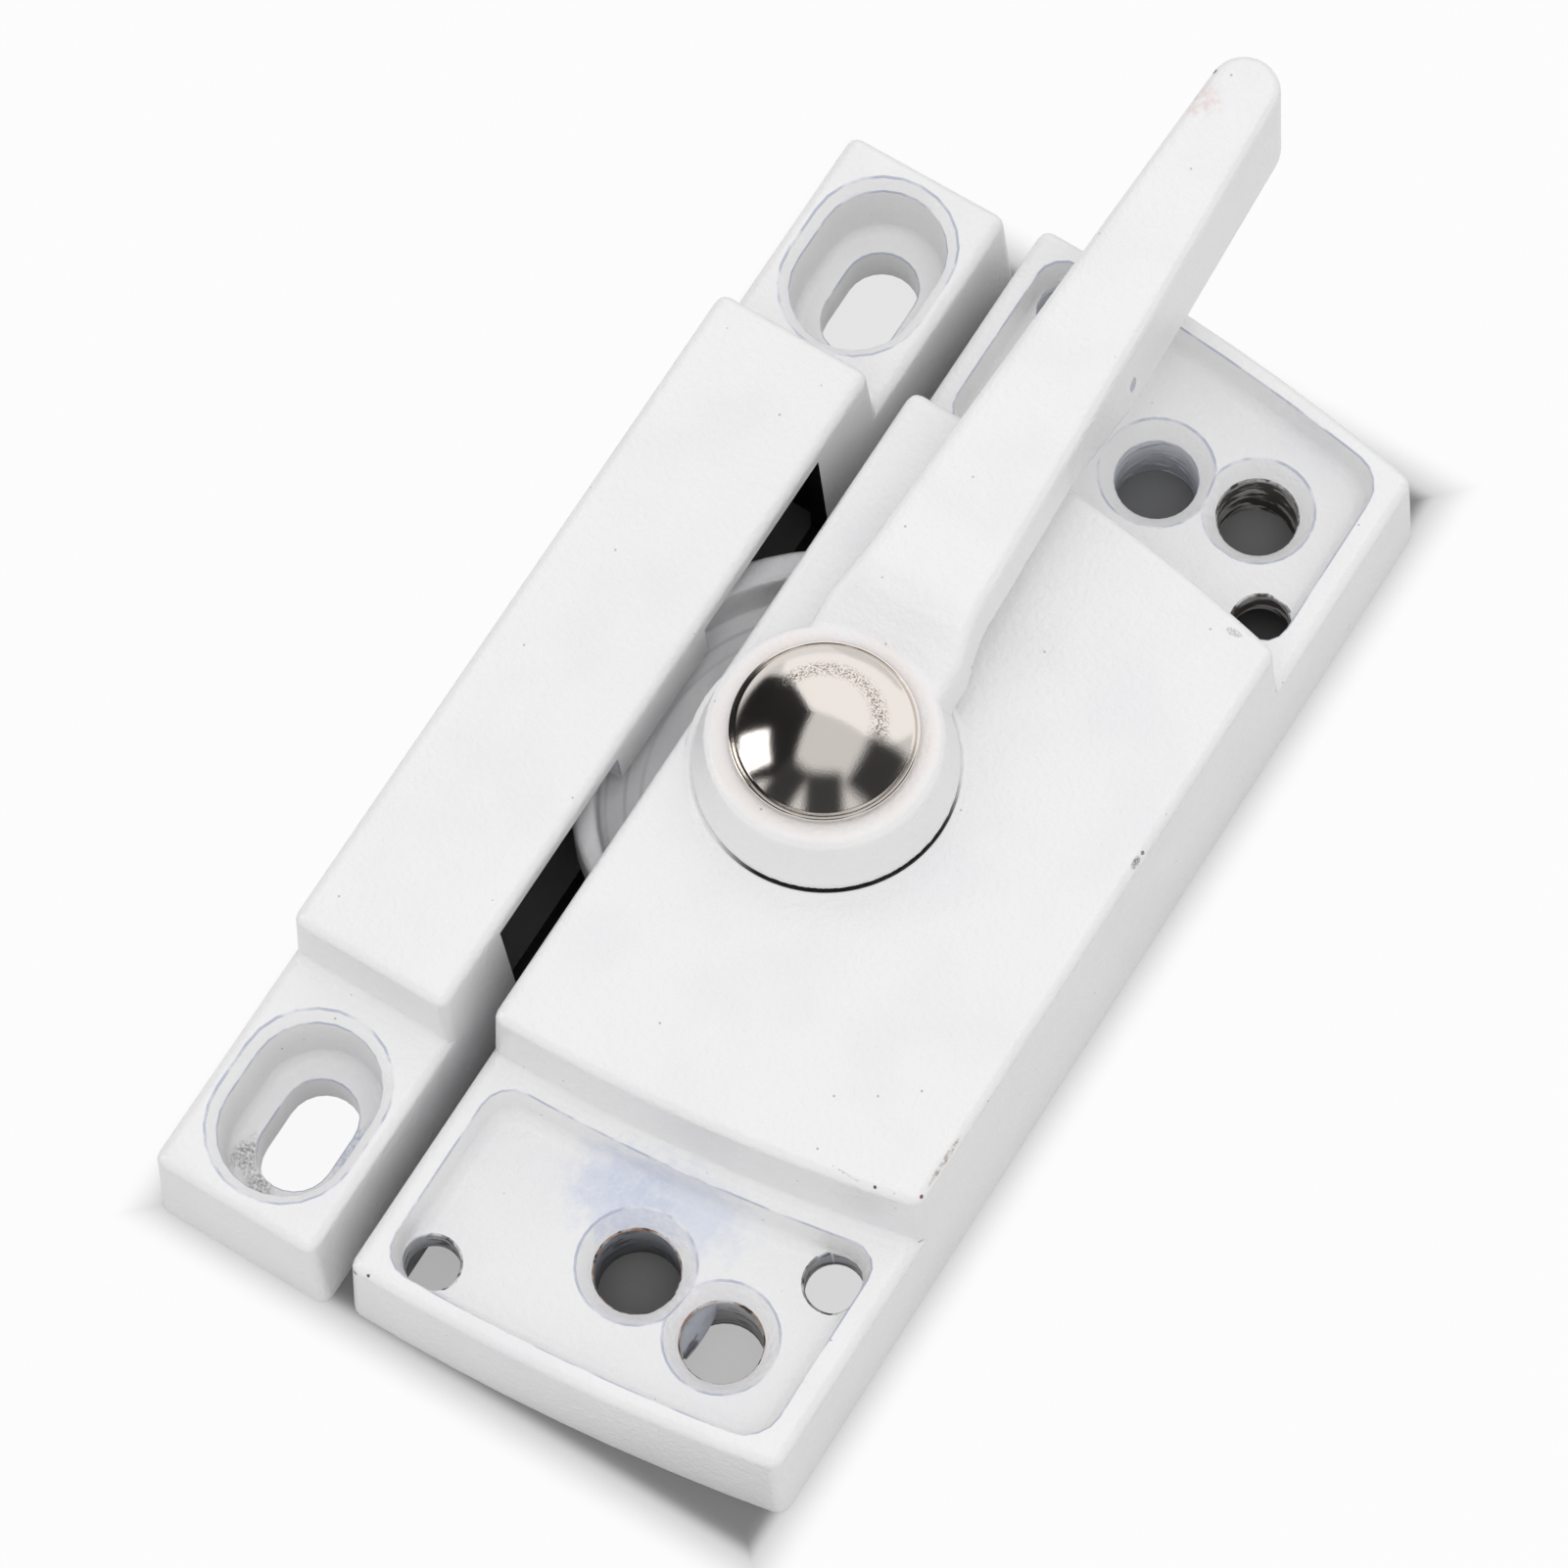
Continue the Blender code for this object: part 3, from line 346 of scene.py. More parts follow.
@dataclass
class Palette:
    """The node tree of one material, with its shader and the coordinates that its patterns read."""

    material: Material
    shader: Node = field(init=False)
    place: NodeSocket = field(init=False)
    height: NodeSocket | None = None
    noises: dict[tuple[float, float], Node] = field(default_factory=dict)

    def __post_init__(self) -> None:
        """Find the shader and centre the object coordinates on the spindle."""
        self.material.use_nodes = True
        self.shader = self.material.node_tree.nodes["Principled BSDF"]
        coordinates = self.add("ShaderNodeTexCoord")
        self.place = self.add("ShaderNodeMapping", values={"Location": -SPINDLE},
                              links={"Vector": coordinates.outputs["Object"]}).outputs["Vector"]

    def add(self, kind: str, settings: dict[str, object] | None = None,
            values: dict[str | int, object] | None = None,
            links: dict[str | int, NodeSocket] | None = None) -> Node:
        """Add a node.

        Args:
            kind: Blender's name for the kind of node.
            settings: the node's own settings by name.
            values: what its unlinked sockets hold, by name or number.
            links: the socket that each of its linked sockets reads, by name or number.

        Returns:
            The new node.
        """
        node = self.material.node_tree.nodes.new(kind)
        for name, value in (settings or {}).items():
            setattr(node, name, value)
        for name, value in (values or {}).items():
            node.inputs[name].default_value = value
        for name, source in (links or {}).items():
            self.material.node_tree.links.new(source, node.inputs[name])
        return node

    def blend(self, share: NodeSocket, low: str | NodeSocket, high: str | NodeSocket) -> NodeSocket:
        """Go from one colour to another.

        Args:
            share: 0 where all is the first colour, 1 where all is the second.
            low: the first colour, as a hex code or a socket.
            high: the second colour, likewise.

        Returns:
            The blended colour.
        """
        pair = {MIX_LOW: low, MIX_HIGH: high}
        codes = {socket: linear(colour) for socket, colour in pair.items() if isinstance(colour, str)}
        sources = {socket: colour for socket, colour in pair.items() if socket not in codes}
        return self.add("ShaderNodeMix", {"data_type": "RGBA"}, codes,
                        {0: share, **sources}).outputs[MIX_RESULT]

    def noise(self, size: float, detail: float) -> Node:
        """The noise with patches of a size, made once for all the patterns that read it.

        Args:
            size: how large its patches are.
            detail: how many finer layers it has.

        Returns:
            The noise node.
        """
        if (size, detail) not in self.noises:
            self.noises[size, detail] = self.add(
                "ShaderNodeTexNoise",
                values={"Scale": 1 / size, "Detail": detail, "Roughness": NOISE_ROUGHNESS},
                links={"Vector": self.place})
        return self.noises[size, detail]

    def clouds(self, size: float, low: float, high: float, detail: float = 3.0) -> NodeSocket:
        """A soft random pattern, cut between two levels of its noise.

        Args:
            size: how large its patches are.
            low: the level that becomes 0.
            high: the level that becomes 1.
            detail: how many finer layers it has.

        Returns:
            The pattern, from 0 to 1.
        """
        return self.add("ShaderNodeMapRange", SOFTLY,
                        {"From Min": low, "From Max": high},
                        {"Value": self.noise(size, detail).outputs["Fac"]}).outputs["Result"]

    def specks(self, spacing: float, size: float, kept: float) -> NodeSocket:
        """Tiny random dots, at most one to a cell.

        Args:
            spacing: how wide a cell is.
            size: how large a dot is.
            kept: the share of the cells that have their dot.

        Returns:
            The mask of the dots.
        """
        cells = self.add("ShaderNodeTexVoronoi", values={"Scale": 1 / spacing, "Randomness": 1.0},
                         links={"Vector": self.place})
        dot = self.add("ShaderNodeMapRange", SOFTLY,
                       {"From Min": size / spacing, "From Max": size / spacing / 2},
                       {"Value": cells.outputs["Distance"]})
        chance = self.add("ShaderNodeSeparateColor", links={"Color": cells.outputs["Color"]})
        lucky = self.add("ShaderNodeMath", {"operation": "LESS_THAN"}, {1: kept},
                         {0: chance.outputs["Red"]})
        return self.both(dot.outputs["Result"], lucky.outputs["Value"])

    def spot(self, mark: Mark) -> NodeSocket:
        """A blot with ragged edges.

        Args:
            mark: where and how large it is, and how it is stretched.

        Returns:
            The mask of the blot.
        """
        rag, core = (CHIP_RAG, CHIP_CORE) if mark.size < CHIP_MOST else (STAIN_RAG, STAIN_CORE)
        ragged = self.add("ShaderNodeVectorMath", {"operation": "MULTIPLY_ADD"},
                          {1: (mark.size,) * 3, 2: [-mark.size / 2 - value * MM for value in mark.place]},
                          {0: self.noise(rag, 3.0).outputs["Color"]})
        moved = self.add("ShaderNodeVectorMath", {"operation": "ADD"},
                         links={0: self.place, 1: ragged.outputs[0]})
        shaped = self.add("ShaderNodeVectorMath", {"operation": "MULTIPLY"}, {1: mark.stretch},
                          {0: moved.outputs[0]})
        reach = self.add("ShaderNodeVectorMath", {"operation": "LENGTH"}, links={0: shaped.outputs[0]})
        return self.add("ShaderNodeMapRange", SOFTLY,
                        {"From Min": mark.size, "From Max": mark.size * core},
                        {"Value": reach.outputs["Value"]}).outputs["Result"]

    def both(self, first: NodeSocket, second: NodeSocket) -> NodeSocket:
        """Where two masks meet."""
        return self.add("ShaderNodeMath", {"operation": "MULTIPLY"},
                        links={0: first, 1: second}).outputs["Value"]

    def from_spindle(self) -> NodeSocket:
        """How far from the spindle's axis each point is."""
        flat = self.add("ShaderNodeVectorMath", {"operation": "MULTIPLY"}, {1: (1, 1, 0)}, {0: self.place})
        return self.add("ShaderNodeVectorMath", {"operation": "LENGTH"},
                        links={0: flat.outputs[0]}).outputs["Value"]

    def ring(self, inner: float, outer: float, soft: float) -> NodeSocket:
        """A soft-edged band about the spindle.

        Args:
            inner: its inner radius.
            outer: its outer radius.
            soft: how far its edges fade to either side.

        Returns:
            The mask of the band.
        """
        radius = self.from_spindle()
        return self.both(*(self.add("ShaderNodeMapRange", SOFTLY,
                                    {"From Min": start, "From Max": end},
                                    {"Value": radius}).outputs["Result"]
                           for start, end in ((inner - soft, inner + soft), (outer + soft, outer - soft))))

    def toward(self, bearing_degrees: float, near: float, far: float) -> NodeSocket:
        """One side of the set.

        Args:
            bearing_degrees: which way that side lies from the spindle.
            near: the distance that way up to which the mask is 0.
            far: the distance past which it is 1.

        Returns:
            The mask of that side.
        """
        bearing = math.radians(bearing_degrees)
        along = self.add("ShaderNodeVectorMath", {"operation": "DOT_PRODUCT"},
                         {1: (math.cos(bearing), math.sin(bearing), 0)}, {0: self.place})
        return self.add("ShaderNodeMapRange", SOFTLY,
                        {"From Min": near, "From Max": far},
                        {"Value": along.outputs["Value"]}).outputs["Result"]

    def most(self, masks: Iterable[NodeSocket]) -> NodeSocket:
        """The largest of several masks at each point.

        Args:
            masks: the masks, of which there is at least one.

        Returns:
            The mask that covers them all.
        """
        first, *rest = masks
        for mask in rest:
            first = self.add("ShaderNodeMath", {"operation": "MAXIMUM"},
                             links={0: first, 1: mask}).outputs["Value"]
        return first

    def raise_by(self, pattern: NodeSocket, depth: float) -> None:
        """Add a pattern to the relief of the surface.

        Args:
            pattern: the pattern, from 0 to 1.
            depth: how high it stands where it is 1.
        """
        before = {} if self.height is None else {2: self.height}
        self.height = self.add("ShaderNodeMath", {"operation": "MULTIPLY_ADD"}, {1: depth, 2: 0.0},
                               {0: pattern, **before}).outputs["Value"]

    def set(self, **sources: object) -> None:
        """Finish the shader: set or link its sockets, and give it the relief.

        Args:
            sources: a plain value or a socket for each of the shader's sockets, by its name.
        """
        if self.height is not None:
            sources["normal"] = self.add("ShaderNodeBump", values={"Distance": 1.0, "Strength": 1.0},
                                         links={"Height": self.height}).outputs["Normal"]
        for name, source in sources.items():
            socket = self.shader.inputs[name.replace("_", " ").title().replace("Ior", "IOR")]
            if isinstance(source, NodeSocket):
                self.material.node_tree.links.new(source, socket)
            else:
                socket.default_value = source


@dataclass(frozen=True)
class Finish:
    """What every finish has; a kind of finish adds how its surface is made."""

    name: str

    def material(self) -> Material:
        """The finish as a material, made once and then used again.

        Returns:
            The material.
        """
        made = bpy.data.materials.get(self.name)
        if made is None:
            made = bpy.data.materials.new(self.name)
            self.mix(Palette(made))
        return made

    def mix(self, palette: Palette) -> None:
        """Build the finish."""
        raise NotImplementedError


@dataclass(frozen=True)
class PowderCoat(Finish):
    """Satin white polyester powder, sprayed and baked on zinc.

    It gives the eye an even, faintly pebbled skin that goes from neutral to slightly lilac, with a
    dark speck here and there and, at chips, the dark metal with a rusty rim.
    """

    colour: str = "EFEFEF"
    cloud: str = "ECEBED"
    cloud_size: float = 7 * MM
    # A kind of speck: its colour, the width of a cell, its own size, and the share of cells with one.
    specks: tuple[tuple[str, float, float, float], ...] = (("BDB9B9", 1.5 * MM, 0.1 * MM, 0.3),
                                                           ("7C7674", 4.1 * MM, 0.09 * MM, 0.22))
    roughness: float = 0.34
    # Real orange peel is only a few micrometres deep: it is drawn deeper, so that it shows.
    pebble: float = 0.4 * MM
    pebble_depth: float = 0.03 * MM
    pit_depth: float = 0.05 * MM
    halos: tuple[Halo, ...] = ()
    marks: tuple[Mark, ...] = ()
    # A one-sided halo goes from none to full between these shares of its outer radius.
    one_sided: tuple[float, float] = (0.3, 0.7)

    def mix(self, palette: Palette) -> None:
        """Pebble the white, and lay its bands, specks and marks over it.

        Args:
            palette: the new material's palette.
        """
        colour = palette.blend(palette.clouds(self.cloud_size, 0.4, 0.75, 2), self.colour, self.cloud)
        palette.raise_by(palette.clouds(self.pebble, 0.2, 0.8, 2), self.pebble_depth)
        for halo in self.halos:
            share = palette.ring(halo.inner, halo.outer, halo.soft)
            if halo.patchy:
                share = palette.both(share, palette.clouds(halo.patchy, 0.15, 0.8))
            if halo.bearing_degrees is not None:
                near, far = (part * halo.outer for part in self.one_sided)
                share = palette.both(share, palette.toward(halo.bearing_degrees, near, far))
            colour = palette.blend(share, colour, halo.colour)
        for speck, spacing, size, kept in self.specks:
            colour = palette.blend(palette.specks(spacing, size, kept), colour, speck)
        pits = []
        for mark in self.marks:
            share = palette.spot(mark)
            if mark.dust:
                share = palette.both(share, palette.clouds(mark.dust, 0.3, 0.7, 4))
            colour = palette.blend(share, colour, mark.colour)
            if mark.pit:
                pits.append(share)
        if pits:
            palette.raise_by(palette.most(pits), -self.pit_depth)
        palette.set(base_color=colour, roughness=self.roughness, ior=POWDER_IOR)


@dataclass(frozen=True)
class ThinCoat(Finish):
    """Powder that drew back from a sharp crease as it melted.

    It gives the eye a fine broken line, lilac where the grey metal shows through the white.
    """

    full: str = "E9E9EC"
    thin: str = "B9BDCE"
    roughness: float = 0.42
    stretch: float = 2.6 * MM

    def mix(self, palette: Palette) -> None:
        """Break the thin tint up along the crease."""
        colour = palette.blend(palette.clouds(self.stretch, 0.36, 0.58, 6), self.full, self.thin)
        palette.set(base_color=colour, roughness=self.roughness, ior=POWDER_IOR)


@dataclass(frozen=True)
class RustyLip(Finish):
    """The lip of a drilled hole where the coat broke and the edge has rusted.

    It gives the eye a thin line that goes from white through tan to dark brown.
    """

    coat: str = "E4E1E1"
    tan: str = "A98A78"
    brown: str = "4B3A32"
    tan_stretch: float = 1.6 * MM
    brown_stretch: float = 0.9 * MM
    roughness: float = 0.7

    def mix(self, palette: Palette) -> None:
        """Go from coat to tan to brown in short stretches.

        Args:
            palette: the new material's palette.
        """
        colour = palette.blend(palette.clouds(self.tan_stretch, 0.4, 0.6, 5), self.coat, self.tan)
        colour = palette.blend(palette.clouds(self.brown_stretch, 0.5, 0.62, 5), colour, self.brown)
        palette.set(base_color=colour, roughness=self.roughness)


@dataclass(frozen=True)
class HoleWall(Finish):
    """The wall of a cored hole.

    It gives the eye a skin that is darker towards the bottom of the hole, crossed by the rough ridges that
    the core left.
    """

    pale: str
    dark: str
    ridge: str
    ridged: tuple[float, float] = (0.5, 0.62)
    span: tuple[float, float] = (0.6 * MM, 4.6 * MM)
    ridge_length: float = 1.9 * MM
    ridge_flatness: float = 3.5
    ridge_depth: float = 0.1 * MM
    roughness: float = 0.5

    def mix(self, palette: Palette) -> None:
        """Darken the wall downwards and lay ridges round it.

        Args:
            palette: the new material's palette.
        """
        height = palette.add("ShaderNodeSeparateXYZ", links={0: palette.place})
        up = palette.add("ShaderNodeMapRange", values={"From Min": self.span[0], "From Max": self.span[1]},
                         links={"Value": height.outputs["Z"]})
        flat = palette.add("ShaderNodeVectorMath", {"operation": "MULTIPLY"},
                           {1: (1, 1, self.ridge_flatness)}, {0: palette.place})
        noise = palette.add("ShaderNodeTexNoise", values={"Scale": 1 / self.ridge_length, "Detail": 5.0},
                            links={"Vector": flat.outputs[0]})
        ridge = palette.add("ShaderNodeMapRange", SOFTLY,
                            {"From Min": self.ridged[0], "From Max": self.ridged[1]},
                            {"Value": noise.outputs["Fac"]}).outputs["Result"]
        colour = palette.blend(up.outputs["Result"], self.dark, self.pale)
        palette.raise_by(ridge, self.ridge_depth)
        palette.set(base_color=palette.blend(ridge, colour, self.ridge), roughness=self.roughness,
                    ior=POWDER_IOR)


@dataclass(frozen=True)
class RawZinc(Finish):
    """Die-cast zinc as it left the mould, with a dusting of overspray.

    It gives the eye a dull grey skin with soft flow marks, paler where powder drifted in.
    """

    colour: str = "77787B"
    dark: str = "4C4C4E"
    powder: str = "B9B9BB"
    dusting: float = 0.6
    mottle: float = 1.6 * MM
    drift: float = 5 * MM
    grain: float = 0.25 * MM
    grain_depth: float = 0.02 * MM
    roughness: float = 0.55
    # The skin is part metal and part oxide.
    metallic: float = 0.35

    def mix(self, palette: Palette) -> None:
        """Mottle the grey and let the overspray drift over it.

        Args:
            palette: the new material's palette.
        """
        colour = palette.blend(palette.clouds(self.mottle, 0.3, 0.7, 5), self.colour, self.dark)
        drifts = palette.clouds(self.drift, self.dusting, self.dusting + 0.2, 4)
        palette.raise_by(palette.clouds(self.grain, 0.2, 0.8, 3), self.grain_depth)
        palette.set(base_color=palette.blend(drifts, colour, self.powder), roughness=self.roughness,
                    metallic=self.metallic)


@dataclass(frozen=True)
class Metal(Finish):
    """A bare or plated metal with the fine marks of how it was made."""

    colour: str
    dull: str
    roughness: float
    grain: Grain
    grain_size: float
    grain_depth: float
    patch: float = 2.5 * MM
    # A streak's width over its length.
    streak: float = 0.04

    def marks(self, palette: Palette) -> NodeSocket:
        """The run of the fine marks.

        Args:
            palette: the new material's palette.

        Returns:
            Their height, from 0 to 1.
        """
        grain = {"Scale": 1 / self.grain_size, "Detail": 3.0}
        if self.grain is Grain.TURNED:
            return palette.add("ShaderNodeTexNoise", {"noise_dimensions": "1D"}, grain,
                               {"W": palette.from_spindle()}).outputs["Fac"]
        run = palette.add("ShaderNodeVectorMath", {"operation": "MULTIPLY"}, {1: (1.0, self.streak, 1.0)},
                          {0: palette.place})
        return palette.add("ShaderNodeTexNoise", values=grain,
                           links={"Vector": run.outputs[0]}).outputs["Fac"]

    def mix(self, palette: Palette) -> None:
        """Dull the plating in soft patches and lay the marks over it.

        Args:
            palette: the new material's palette.
        """
        colour = palette.blend(palette.clouds(self.patch, 0.35, 0.75, 4), self.colour, self.dull)
        palette.raise_by(self.marks(palette), self.grain_depth)
        palette.set(base_color=colour, roughness=self.roughness, metallic=1.0)


@dataclass(frozen=True)
class BrightNickel(Finish):
    """Bright nickel plate on a pressed brass cap, rubbed by thumbs.

    It gives the eye a warm mirror with fine short scratches, dulled in a ring where the dome meets
    whatever it is laid on.
    """

    colour: str = "DAD4CE"
    worn: str = "958A80"
    rub_radius: tuple[float, float] = (2.7 * MM, 3.5 * MM)
    rub_soft: float = 0.35 * MM
    rub_side: tuple[float, float] = (0.0, 1.2 * MM)
    # Real scratches are ten times finer: they are drawn this coarse so that they show.
    scratch: float = 0.12 * MM
    scratch_depth: float = 0.0008 * MM
    bright_roughness: float = 0.11
    rubbed_roughness: float = 0.4

    def mix(self, palette: Palette) -> None:
        """Scratch the mirror and rub half a ring of it.

        Args:
            palette: the new material's palette.
        """
        half_ring = palette.both(palette.ring(*self.rub_radius, self.rub_soft),
                                 palette.toward(0, *self.rub_side))
        rub = palette.both(half_ring, palette.clouds(self.scratch, 0.47, 0.58, 4))
        rough = palette.add("ShaderNodeMapRange", values={"To Min": self.bright_roughness,
                                                          "To Max": self.rubbed_roughness},
                            links={"Value": rub})
        palette.raise_by(palette.clouds(self.scratch, 0.35, 0.65, 4), self.scratch_depth)
        palette.set(base_color=palette.blend(rub, self.colour, self.worn),
                    roughness=rough.outputs["Result"], metallic=1.0)


@dataclass(frozen=True)
class MouldedNylon(Finish):
    """Black nylon as moulded, slightly greasy: dark, soft-edged and barely glossy."""

    colour: str = "1C1C1D"
    worn: str = "2B2B2D"
    patch: float = 1.5 * MM
    grain: float = 0.1 * MM
    grain_depth: float = 0.004 * MM
    roughness: float = 0.5
    ior: float = 1.53

    def mix(self, palette: Palette) -> None:
        """Vary the black and grain it."""
        palette.raise_by(palette.clouds(self.grain, 0.2, 0.8, 2), self.grain_depth)
        palette.set(base_color=palette.blend(palette.clouds(self.patch, 0.3, 0.7), self.colour, self.worn),
                    roughness=self.roughness, ior=self.ior)


BARE = "5B524D"
RUST = "7A5645"
THIN = "D2D7E7"
DIRT = "8C8785"
HOUSING_COAT_AND_PAINTED_SHADE = PowderCoat(
    "housing_powder_coat_and_painted_shade",
    # The near-black band round the foot of the hub, fading out away from bearing -133 degrees, is painted
    # shade in the gap between hub and housing.
    halos=(Halo(4 * MM, 7.62 * MM, 0.03 * MM, "1A1919", bearing_degrees=-133),),
    marks=(Mark((-19.45, -15.25, 13.95), 0.12 * MM, BARE, pit=True),
           Mark((-19.75, -14.6, 13.9), 0.1 * MM, BARE, pit=True),
           Mark((-18.53, -17.7, 13.85), 0.14 * MM, RUST, pit=True),
           Mark((4.2, -17.7, 13.95), 0.26 * MM, "8D8683", (0.5, 1, 1), dust=0.1 * MM, pit=True),
           Mark((4.9, -17.7, 13.9), 0.15 * MM, "8D8683", pit=True),
           Mark((-37.1, 7.95, 7.3), 0.22 * MM, RUST, pit=True),
           Mark((-37.0, 7.05, 7.9), 0.12 * MM, BARE, pit=True),
           Mark((12.3, 8.1, 14.0), 0.4 * MM, BARE, (0.5, 1.4, 1), dust=0.1 * MM, pit=True),
           Mark((-16.2, -17.72, 13.9), 0.2 * MM, "A8988F", (0.1, 1, 1), dust=0.3 * MM),
           Mark((-19.62, -12.5, 13.95), 0.12 * MM, "9C928D", (1, 0.06, 1), dust=0.3 * MM),
           Mark((18.8, -15.3, 14.1), 0.4 * MM, "B4AEAB", (1.5, 0.7, 1), dust=0.1 * MM),
           Mark((-25.0, -1.9, 5.4), 4.4 * MM, "DCE0EB", (1.1, 1, 1)),
           Mark((-23.6, -5.6, 5.4), 4.6 * MM, "DEE2EC", (1.4, 1, 1)),
           Mark((-24.8, -2.6, 5.4), 3.6 * MM, THIN, dust=0.4 * MM)))
KEEPER_COAT = PowderCoat(
    "keeper_powder_coat",
    marks=(Mark((-33.6, 17.9, 3.2), 1.5 * MM, DIRT, (1, 1.2, 1), dust=0.2 * MM),
           Mark((-34.7, 16.4, 3.2), 1.3 * MM, DIRT, dust=0.2 * MM),
           Mark((-30.2, 12.7, 3.2), 1.9 * MM, "B9C1D6", (0.7, 1.2, 1), dust=0.3 * MM)))
LEVER_COAT = PowderCoat(
    "lever_powder_coat",
    halos=(Halo(5.0 * MM, 6.3 * MM, 0.5 * MM, "EFE7E4", patchy=3 * MM),),
    marks=(Mark((45.15, 2.0, 21.15), 0.2 * MM, RUST, pit=True),
           Mark((43.2, 1.5, 21.2), 1.5 * MM, "E6D6D2", dust=0.5 * MM),
           Mark((28.0, -3.08, 16.28), 0.49 * MM, "B9BAC6", (1.3, 1, 0.6), pit=True)))
# The wide grey band from 13 mm outwards is painted shade over the cam's rim; the three thin bands are fine
# darker arcs on the web.
CAM_COAT_AND_PAINTED_SHADE = PowderCoat(
    "cam_powder_coat_and_painted_shade", colour="F2F2F3", cloud="E6E6E8",
    halos=tuple(Halo(radius * MM, (radius + width) * MM, 0.09 * MM, tint) for radius, width, tint in (
        (10.6, 0.2, "DEDEE0"), (11.5, 0.2, "D6D6D9"), (12.6, 0.16, "DCDCDE"), (13.0, 3.0, "D2D2D4"))))
THIN_COAT = ThinCoat("thin_powder_coat")
RUSTY_LIP = RustyLip("rusty_hole_lip")
WORN_LIP = RustyLip("worn_hole_lip", coat="CFCFD3", tan="8E8B8A", brown="4A4644")
RAW_ZINC = RawZinc("raw_zinc")
# Raw zinc darkened to near black: raw zinc in colour, with the dark as painted shade in the keeper's hollow
# and the sill at its mouth.
DARK_ZINC_AND_PAINTED_SHADE = RawZinc("raw_zinc_and_painted_shade", colour="202021", dark="171718", powder="39393A", dusting=0.72)
COATED_HOLE = HoleWall("coated_hole_wall", "F1F2F6", "B4B6BD", "DFE2EA")
ROUGH_HOLE = HoleWall("rough_hole_wall", "5D5957", "3A3837", "C5C2C0", ridged=(0.48, 0.56))
DARK_GREY_HOLE = HoleWall("dark_grey_hole_wall", "A6AAB2", "6C6D72", "63646A")
RIBBED_HOLE = HoleWall("ribbed_hole_wall", "CFD0D4", "939294", "6A6563")
VENT_WALL = HoleWall("vent_wall", "C6C7CC", "8B8A8C", "5A5654")
NICKEL = BrightNickel("bright_nickel_plate")
TURNED_STEEL = Metal("turned_zinc_plate", "B4B5B6", "96979A", 0.32, Grain.TURNED, 0.06 * MM, 0.004 * MM)
ROLLED_STEEL = Metal("rolled_zinc_plate", "B0B1B3", "8E8F92", 0.36, Grain.ROLLED, 0.05 * MM, 0.003 * MM)
SPRING_STEEL = Metal("oiled_spring_steel", "67686B", "4B4B4E", 0.38, Grain.ROLLED, 0.05 * MM, 0.003 * MM)
NYLON = MouldedNylon("moulded_nylon")


# Pieces


def seat(piece: Object, body: Body, node: str | None) -> None:
    """Let a finished piece ride on its body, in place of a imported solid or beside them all.

    Args:
        piece: the finished piece.
        body: the body that it rides on.
        node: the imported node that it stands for, if any.
    """
    put_down_everything()
    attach(piece, body.value)
    if node:
        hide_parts(node)
    log.info("%s: %d faces, in place of %s", piece.name, len(piece.data.polygons), node or "no solid")


@dataclass
class Casting:
    """A die casting with its coat drawn thin over its rims and its hollow left raw; in the keeper the raw
    hollow is darkened to near black as painted shade.
    """

    node: str
    name: str
    coat: Finish
    hollow_finish: Finish
    hollows: tuple[Region, ...]
    lips: tuple[tuple[Region, Finish], ...] = ()
    full_rims: tuple[Region, ...] = ()
    creases: tuple[Region, ...] = ()
    bores: tuple[tuple[Region, Finish], ...] = ()
    rim_radius: float = 0.09 * MM
    lip_radius: float = 0.16 * MM
    crease_radius: float = 0.7 * MM

    def build(self) -> Object:
        """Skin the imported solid, fill its creases, round its rims and give each stretch its finish.

        Returns:
            The finished casting.
        """
        piece = skin_of(self.node, self.name)
        finishes = [self.coat, THIN_COAT, self.hollow_finish,
                    *(finish for _, finish in self.lips + self.bores)]
        slots = {finish.name: finishes.index(finish) for finish in finishes}
        for finish in finishes:
            piece.data.materials.append(finish.material())
        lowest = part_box(self.node)[0].z + self.rim_radius
        lips = tuple(region for region, _ in self.lips)
        if select(piece, Pick.EDGES, lambda edge: len(edge.link_faces) == 2 and not edge.is_convex
                  and edge.calc_face_angle() > RIM_ANGLE and within(self.creases, middle_of(edge))):
            bpy.ops.mesh.bevel(offset=self.crease_radius, segments=CREASE_STEPS, affect="EDGES",
                               clamp_overlap=False)
        for region, finish in self.lips:
            round_rims(piece, self.lip_radius, slots[finish.name], region.holds)
        round_rims(piece, self.rim_radius, slots[self.coat.name],
                   lambda place: within(self.full_rims, place))
        round_rims(piece, self.rim_radius, slots[THIN_COAT.name], lambda place: place.z > lowest
                   and not within(self.hollows + lips + self.full_rims, place))
        paint_faces(piece, slots[self.hollow_finish.name],
                    lambda face: within(self.hollows, face.calc_center_median()))
        for region, finish in self.bores:
            paint_faces(piece, slots[finish.name], lambda face, region=region:
                        abs(face.normal.z) < WALL_LEAN and region.holds(face.calc_center_median()))
        smooth_skin(piece)
        return piece


